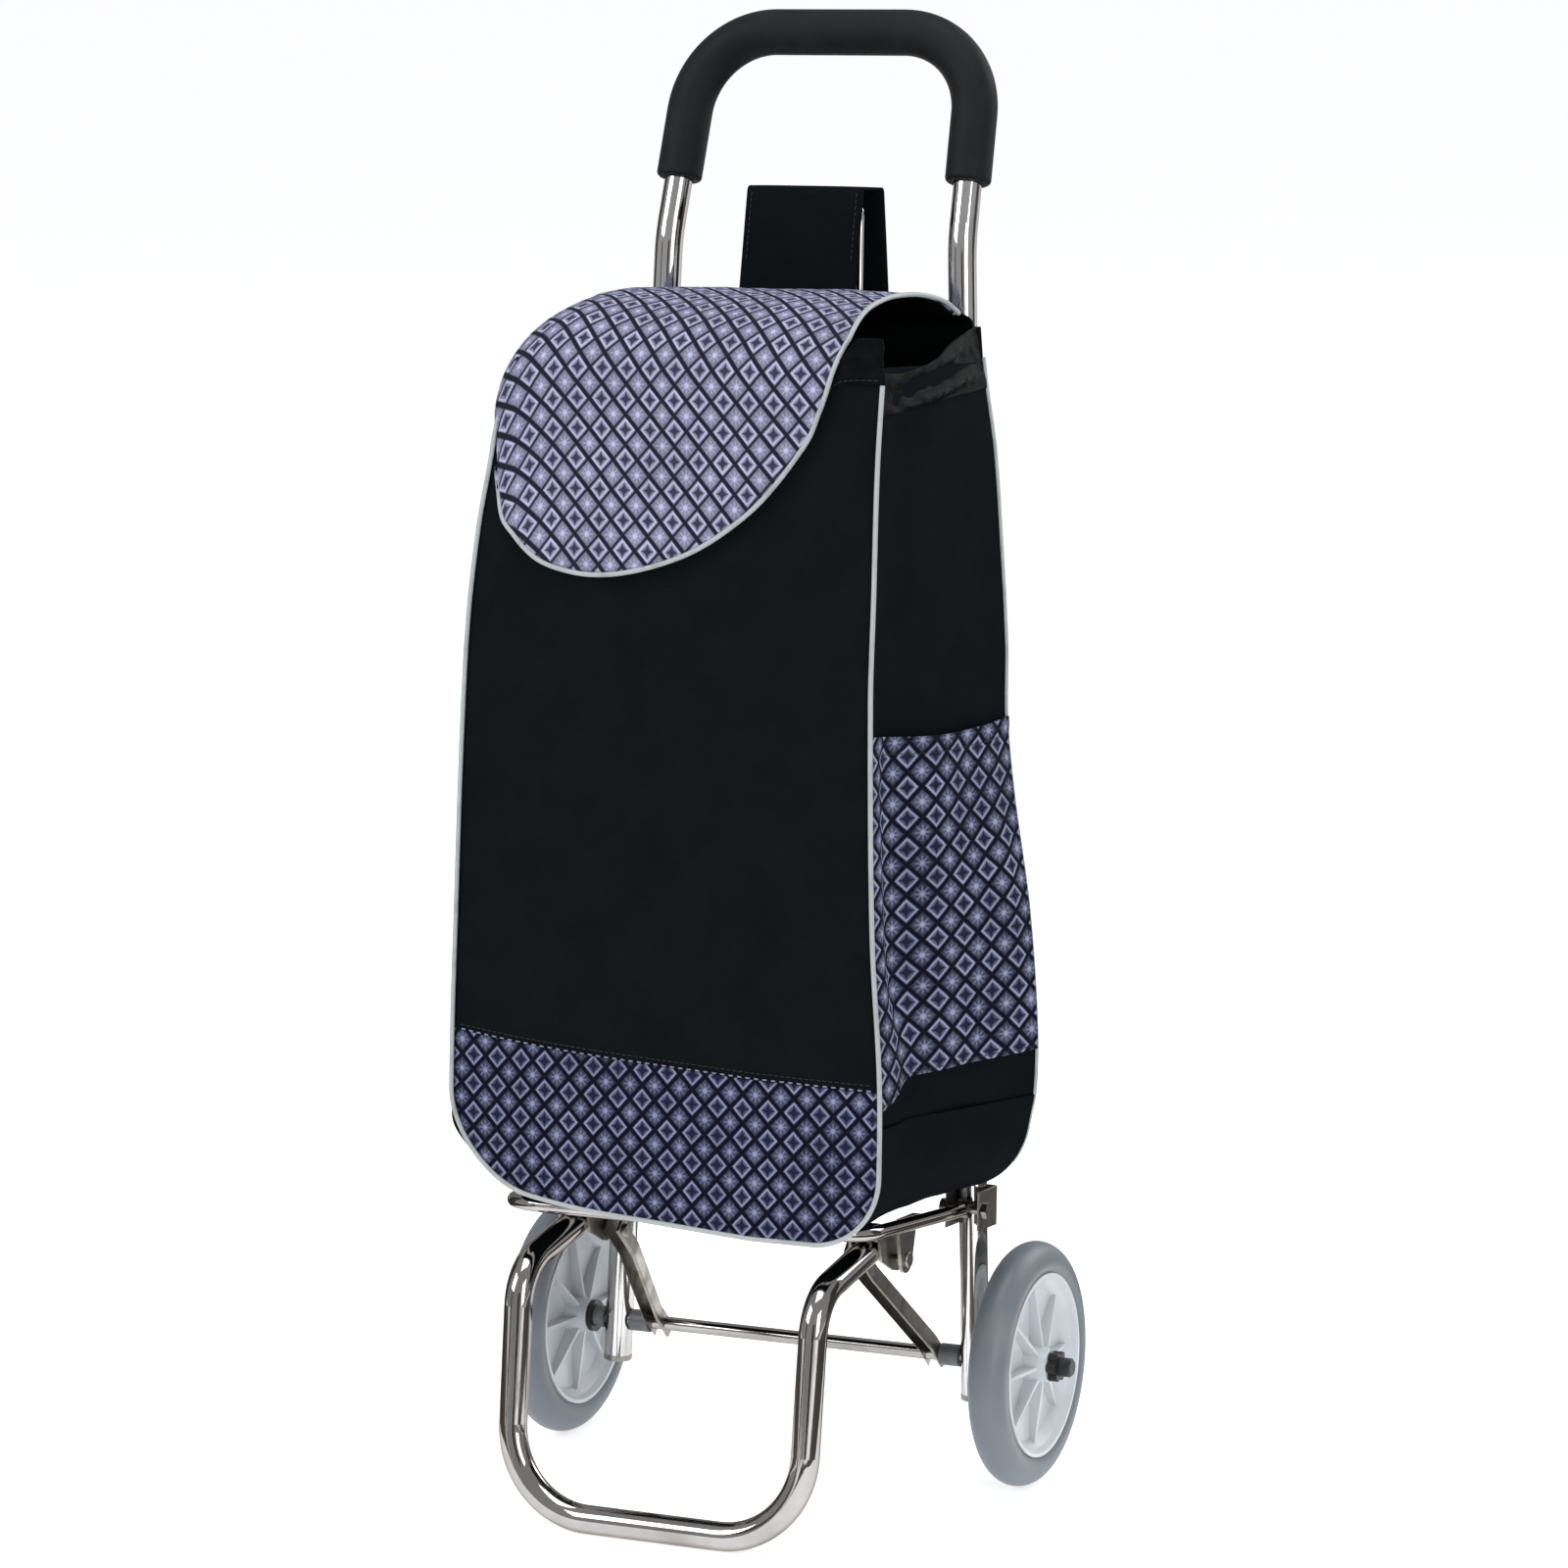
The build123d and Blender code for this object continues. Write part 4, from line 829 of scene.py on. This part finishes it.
# edge of the lid as it lies flat: across, and run from the hinge
LID_SIDE_LEFT = [(-124.0, 0.0), (-133.0, 32.0), (-147.0, 80.0), (-154.0, 135.0), (-152.0, FALL - 45.0),
                 (-143.0, FALL - 5.0), (-132.0, FALL + 27.0)]
LID_END = [(-132.0, FALL + 27.0), (-120.5, FALL + 71.0), (-92.0, FALL + 108.0), (-48.0, FALL + 116.0),
           (9.0, FALL + 101.0), (56.0, FALL + 70.0), (88.5, FALL + 31.0)]
LID_SIDE_RIGHT = [(88.5, FALL + 31.0), (99.5, FALL + 8.0), (107.0, FALL - 14.0), (112.5, FALL - 38.0),
                  (113.0, 160.0), (109.0, 110.0), (109.0, 68.0), (115.0, 28.0), (120.0, 0.0)]
SHOULDER_X, SHOULDER_WIDE, SHOULDER_DEEP = -72.0, 66.0, 46.0
LINING_DEEP = 2.5                        # the lining lies this far inside the lid's outer face
LID_AHEAD = 12.0                         # millimetres, passed to finish_soft as ahead


def through(points, start, end, steps=14):
    """Smooth line through points[start..end], whose neighbours on both sides shape its ends."""
    out = []
    for i in range(start, end):
        a, b = Vector(points[i]), Vector(points[i + 1])
        before = Vector(points[i - 1]) if i else a * 2 - b
        after = Vector(points[i + 2]) if i + 2 < len(points) else b * 2 - a
        for k in range(steps):
            t = k / steps
            out.append(a * (2 * t ** 3 - 3 * t ** 2 + 1) + (b - before) * 0.5 * (t ** 3 - 2 * t ** 2 + t)
                       + b * (3 * t ** 2 - 2 * t ** 3) + (after - a) * 0.5 * (t ** 3 - t ** 2))
    return out + [Vector(points[end])]


def along(line, share):
    spans = [(b - a).length for a, b in zip(line, line[1:])]
    left = share * sum(spans)
    for a, b, span in zip(line, line[1:], spans):
        if left <= span:
            return a.lerp(b, left / span)
        left -= span
    return line[-1]


LID_EDGE = LID_SIDE_LEFT + LID_END[1:] + LID_SIDE_RIGHT[1:]
TURN_LEFT, TURN_RIGHT = len(LID_SIDE_LEFT) - 1, len(LID_SIDE_LEFT) + len(LID_END) - 2
EDGE_LEFT = through(LID_EDGE, 0, TURN_LEFT)
EDGE_END = through(LID_EDGE, TURN_LEFT, TURN_RIGHT)
EDGE_RIGHT = through(LID_EDGE, TURN_RIGHT, len(LID_EDGE) - 1)


def lid_profile(x, run, drop):
    if run <= FALL:
        v, w = spline(LID_V, run), spline(LID_W, run)
    else:
        w = LID_LINE[-1][1] - (run - FALL)
        v = LID_LINE[-1][0]
    hanging = smooth_step(run, FALL - 30.0, FALL + 40.0)
    return Vector((mix(v, FRONT_V - front_out(x, w - drop) - 4.6, hanging), w))


def lid_surface(flat_x, run):
    """The lid's outer face: over the top from the hinge, then down the front, with a soft left shoulder."""
    front, laid = smooth_step(run, 110.0, FALL - 5.0), smooth_step(run, 5.0, 85.0)
    start, radius = mix(SHOULDER_X, -116.0, front), mix(60.0, 17.0, front)
    wide = mix(SHOULDER_WIDE, 20.0, front)
    x, back, sag = flat_x, 0.0, 0.0
    if flat_x < start:
        turn = (start - flat_x) / radius
        bent = min(turn, math.pi / 2)
        past = (turn - bent) * radius
        x = mix(flat_x, start - wide * math.sin(bent), laid)
        back, sag = (12.0 * (1 - math.cos(bent)) + past) * front, past * (1 - front)
    reach = min(max((SHOULDER_X - x) / SHOULDER_WIDE, 0.0), 1.0)
    drop = (SHOULDER_DEEP * (1 - math.sqrt(1 - reach ** 2)) + sag) * laid
    here, ahead = lid_profile(x, run, drop), lid_profile(x, run + 1.0, drop)
    tangent = (ahead - here).normalized()
    normal = Vector((tangent.y, -tangent.x))
    soft = (1.6 * ripple(flat_x, run, 60, 80, 1.4) + 0.5 * ripple(flat_x, run, 22, 26, 6.2)
            + 2.2 * (1 - (x / 140.0) ** 2)) * smooth_step(run, 0.0, 30.0)
    here = here + normal * soft
    return at(x, here.x + back, here.y - drop)


def lid_flat(s, t):
    """Place on the flat lid: s across from its left edge, t from the hinge to the end."""
    left, right, end = along(EDGE_LEFT, t), along(EDGE_RIGHT, 1 - t), along(EDGE_END, s)
    hinge = EDGE_LEFT[0].lerp(EDGE_RIGHT[-1], s)
    low_left, low_right = EDGE_LEFT[-1], EDGE_RIGHT[0]
    return (left * (1 - s) + right * s + hinge * (1 - t) + end * t
            - (EDGE_LEFT[0] * (1 - s) + EDGE_RIGHT[-1] * s) * (1 - t)
            - (low_left * (1 - s) + low_right * s) * t)


def make_lid(printed, piping, lining):
    def flap(s, t):
        spot = lid_flat(1 - s, t)
        return lid_surface(spot.x, spot.y), (spot.x, spot.y)

    def inside(s, t):
        spot = lid_flat(mix(0.006, 0.994, s), t * 0.996)
        here = lid_surface(spot.x, spot.y)
        across, down = lid_surface(spot.x + 1, spot.y) - here, lid_surface(spot.x, spot.y + 1) - here
        return here + across.cross(down).normalized() * (LINING_DEEP * MM), (spot.x, spot.y)

    flap_piece = cloth("lid_flap_cloth", flap, 80, 130, printed, 1.6)
    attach(flap_piece, "lid")
    finish_soft(flap_piece, "print_cloth", "lid_flap", ahead=LID_AHEAD)
    lining_piece = cloth("lid_lining", inside, 56, 90, lining, 0.3)
    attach(lining_piece, "lid")
    finish_soft(lining_piece, "black_nylon", ahead=LID_AHEAD)
    edge = EDGE_LEFT + EDGE_END[1:] + EDGE_RIGHT[1:]
    line = []
    for before, here, after in zip([edge[0]] + edge, edge, edge[1:] + [edge[-1]]):
        way = (after - before).normalized()
        out = here + Vector((-way.y, way.x)) * 0.9
        line.append(lid_surface(out.x, out.y) + shift(0, 0.3, -0.3))
    bead = tube("lid_piping_bead", line, 1.65, piping)
    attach(bead, "lid")
    finish_soft(bead, "piping", "lid_piping", ahead=LID_AHEAD)


# ---------------------------------------------------------------- pipings
def make_pipings(piping):
    bead, proud = 1.6, 1.2
    columns = {}
    for side in (-1, 1):
        radius = LEFT_CORNER if side < 0 else RIGHT_CORNER
        heights = [mix(FRONT_TOP - (19 if side < 0 else 11), PANEL_LOW + radius, k / 140) for k in range(141)]
        heights += [PANEL_LOW + radius * (1 - math.sin(math.pi / 2 * k / 30)) for k in range(1, 31)]
        column = []
        for w in heights:
            x, high = front_spot(side, w)
            turn = max(0.0, 1 - (w - PANEL_LOW) / radius)
            column.append(at(x + side * 0.3 * (1 - turn), FRONT_V - proud, high - 0.4 * turn))
        columns[side] = column
    left, right = front_spot(-1, PANEL_LOW)[0], front_spot(1, PANEL_LOW)[0]
    bottom = []
    for k in range(1, 60):
        x = mix(left, right, k / 60)
        bottom.append(at(x, FRONT_V - proud - 1.2 * math.sin(math.pi * k / 60), PANEL_LOW + tilt(x) - 0.4))
    line = columns[-1] + bottom + columns[1][::-1]
    fit_bag(tube("front_piping_bead", line, bead, piping), "piping", "front_piping")
    for side, name in ((-1, "left"), (1, "right")):
        heights = [mix(BASE_LOW + 20, FRONT_TOP + 3, k / 140) for k in range(141)]
        column = [at(side * (back_half(w) + 0.2), BACK_V + 0.4, w) for w in heights]
        piece = tube(f"back_piping_{name}", column, bead, piping)
        fit_bag(piece, "piping", *(["back_piping"] if side > 0 else []))


# ---------------------------------------------------------------- hanging loop
def rounded(points, radius, step=1.5):
    """Closed outline through (v, w) corners, each rounded by an arc."""
    out = []
    count = len(points)
    for i in range(count):
        a, b, c = (Vector(points[(i + k) % count]) for k in (-1, 0, 1))
        to_a, to_c = (a - b).normalized(), (c - b).normalized()
        half = to_a.angle(to_c) / 2
        back = radius / math.tan(half)
        centre = b + (to_a + to_c).normalized() * (radius / math.sin(half))
        first, last = b + to_a * back - centre, b + to_c * back - centre
        total = first.angle_signed(last)
        turns = max(3, int(abs(total) * radius / step))
        for k in range(turns + 1):
            out.append(centre + Matrix.Rotation(-total * k / turns, 2) @ first)
    return out


def make_loop(black, dark_thread):
    corners = [(-10.0, 695.5), (-26.5, 713.0), (-15.5, 784.5), (19.0, 784.5), (30.0, 713.0), (12.0, 695.5)]
    outline = rounded(corners, 4.0)
    dense = []
    for a, b in zip(outline, outline[1:] + outline[:1]):
        pieces = max(1, int((b - a).length / 4.0))
        dense += [a.lerp(b, k / pieces) for k in range(pieces)]
    count, columns = len(dense), 24
    wide, centre = 42.5, Vector((1.0, 742.0))
    points, uvs, faces = [], [], []
    run = 0.0
    for i in range(count):
        run += (dense[i] - dense[i - 1]).length if i else 0.0
        for j in range(columns + 1):
            x = -wide + 2 * wide * j / columns
            bow = 0.8 * (1 - (x / wide) ** 2) + 0.5 * ripple(x, run, 30, 26, 3.3)
            away = (dense[i] - centre).normalized() * bow
            points.append(at(x, dense[i].x + away.x * 0.4, dense[i].y + away.y * 0.4))
            uvs.append((x * MM, run * MM))
    for i in range(count):
        for j in range(columns):
            a, b = i * (columns + 1) + j, (i + 1) % count * (columns + 1) + j
            faces.append((a, a + 1, b + 1, b))
    made = link("hanging_loop_strap", points, faces, black, uvs)
    thicken(made, 2.0)
    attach(made, "frame")
    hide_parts("hanging_loop")
    outward = FORWARDS
    rows = []
    for x in (-wide + 4, wide - 4):
        low, high = Vector((-23.7, 735.0)), Vector((-16.5, 780.0))
        spots = [low.lerp(high, k / 20) for k in range(21)]
        rows.append(([at(x, p.x - 0.35, p.y) for p in spots], outward))
    thread_piece = stitches("loop_stitches", rows, dark_thread)
    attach(thread_piece, "frame")


# ---------------------------------------------------------------- zip on the back
ZIP_X, ZIP_LOW, ZIP_TOP = 139.0, 300.0, 488.0


def make_zip(tape_fabric, metal):
    def tape(s, t):
        x = ZIP_X + 6.0 - 12.0 * s
        w = ZIP_LOW - 6 + (ZIP_TOP - ZIP_LOW + 12) * t
        groove = -0.7 * math.exp(-((x - ZIP_X) / 1.6) ** 2)
        base = back_point(x / back_half(w), w)
        return base + shift(0, 1.5 + groove, 0), (x, w)

    fit_bag(cloth("zip_tape_cloth", tape, 24, 60, tape_fabric, 0.6), "black_nylon", "zip_tape")
    points, faces = [], []
    pitch = 2.4
    for k in range(int((ZIP_TOP - ZIP_LOW) / pitch)):
        w = ZIP_LOW + k * pitch
        side = 1 if k % 2 else -1
        base = back_point(ZIP_X / back_half(w), w)
        first = len(points)
        for x, v, up in [(x, v, up) for x in (-0.6, 2.0) for v in (1.0, 2.3) for up in (0.0, 1.4)]:
            points.append(base + shift(side * x, v, up))
        for face in ((0, 1, 3, 2), (4, 6, 7, 5), (0, 4, 5, 1), (2, 3, 7, 6), (0, 2, 6, 4), (1, 5, 7, 3)):
            faces.append(tuple(first + i for i in face))
    teeth = link("zip_teeth", points, faces, metal, smooth=False)
    bevel = teeth.modifiers.new("edges", "BEVEL")
    bevel.width = 0.25 * MM
    fit_bag(teeth, "zip_metal")


def dress_frame(metals):
    """Materials for the nodes that come over from the frame."""
    for material, names in metals:
        for name in names:
            node = frame["nodes"][name]
            node.data.materials.clear()
            node.data.materials.append(material)


make_camera()
make_stage()

chrome_finish = chrome("chrome", (0.66, 0.655, 0.65), (0.54, 0.53, 0.52))
# a darker copy of the chrome for the foot tube, tray rod, tray cross and axle: painted shade
shaded_chrome = chrome("shaded_chrome", (0.43, 0.42, 0.41), (0.32, 0.31, 0.30))
zinc_finish, foam_finish = zinc(), foam()
tyre_finish, rim_finish = tyre_rubber(), white_plastic()
black_moulding = moulded("black_plastic", (0.008, 0.008, 0.009), (0.016, 0.016, 0.017), 0.42)
grey_moulding = moulded("grey_plastic", (0.10, 0.105, 0.11), (0.15, 0.155, 0.16), 0.4)
zip_black = moulded("zip_metal", (0.012, 0.012, 0.013), (0.03, 0.03, 0.032), 0.3)
dress_frame([
    (chrome_finish, ["handle_frame", "crossbar", "hanger_hoop"]),
    (shaded_chrome, ["foot_tube", "tray_rod", "tray_cross", "axle"]),
    (zinc_finish, ["upright_plugs", "bracket_left", "bracket_right", "bracket_bolts", "tray_eyes",
                   "tray_hangers", "foot_brackets", "foot_pins", "strut_left", "strut_right",
                   "strut_rivets"]),
    (foam_finish, ["foam_grip"]),
    (black_moulding, ["axle_washers", "hub_caps", "foot_plugs"]),
    (grey_moulding, ["inner_sleeves", "outer_sleeves"]),
    (tyre_finish, ["tyre_left", "tyre_right"]),
    (rim_finish, ["rim_left", "rim_right", "bush_left", "bush_right"]),
    (zip_black, ["zip_slider", "zip_pull"]),
])

black, thin = black_cloth(), nylon()
band_print = print_cloth("print_band", (18.0 * MM, 19.2 * MM), 0.03, (0.085, 0.085), (0.22, 0.23, 0.37))
pocket_print = print_cloth("print_pocket", (29.0 * MM, 20.0 * MM), 0.035, (0.07, 0.07), (0.26, 0.27, 0.41))
# the lid's print has lighter ink and a ground lifted towards lilac: painted sheen of the light from above
sheened_lid_print = print_cloth("print_lid_sheened", (17.5 * MM, 19.5 * MM), 0.30, (0.05, 0.10), (0.42, 0.42, 0.60))
piping = piping_cloth()
dark_thread = thread("dark_thread", (0.006, 0.0065, 0.008))
pale_thread = thread("pale_thread", (0.22, 0.22, 0.34))
make_front(black, band_print, dark_thread, pale_thread)
make_sides(black, pocket_print, dark_thread)
make_base(black)
make_back(black)
make_collar(thin, dark_thread)
make_lid(sheened_lid_print, piping, thin)
make_pipings(piping)
make_loop(black, dark_thread)
make_zip(thin, zip_black)
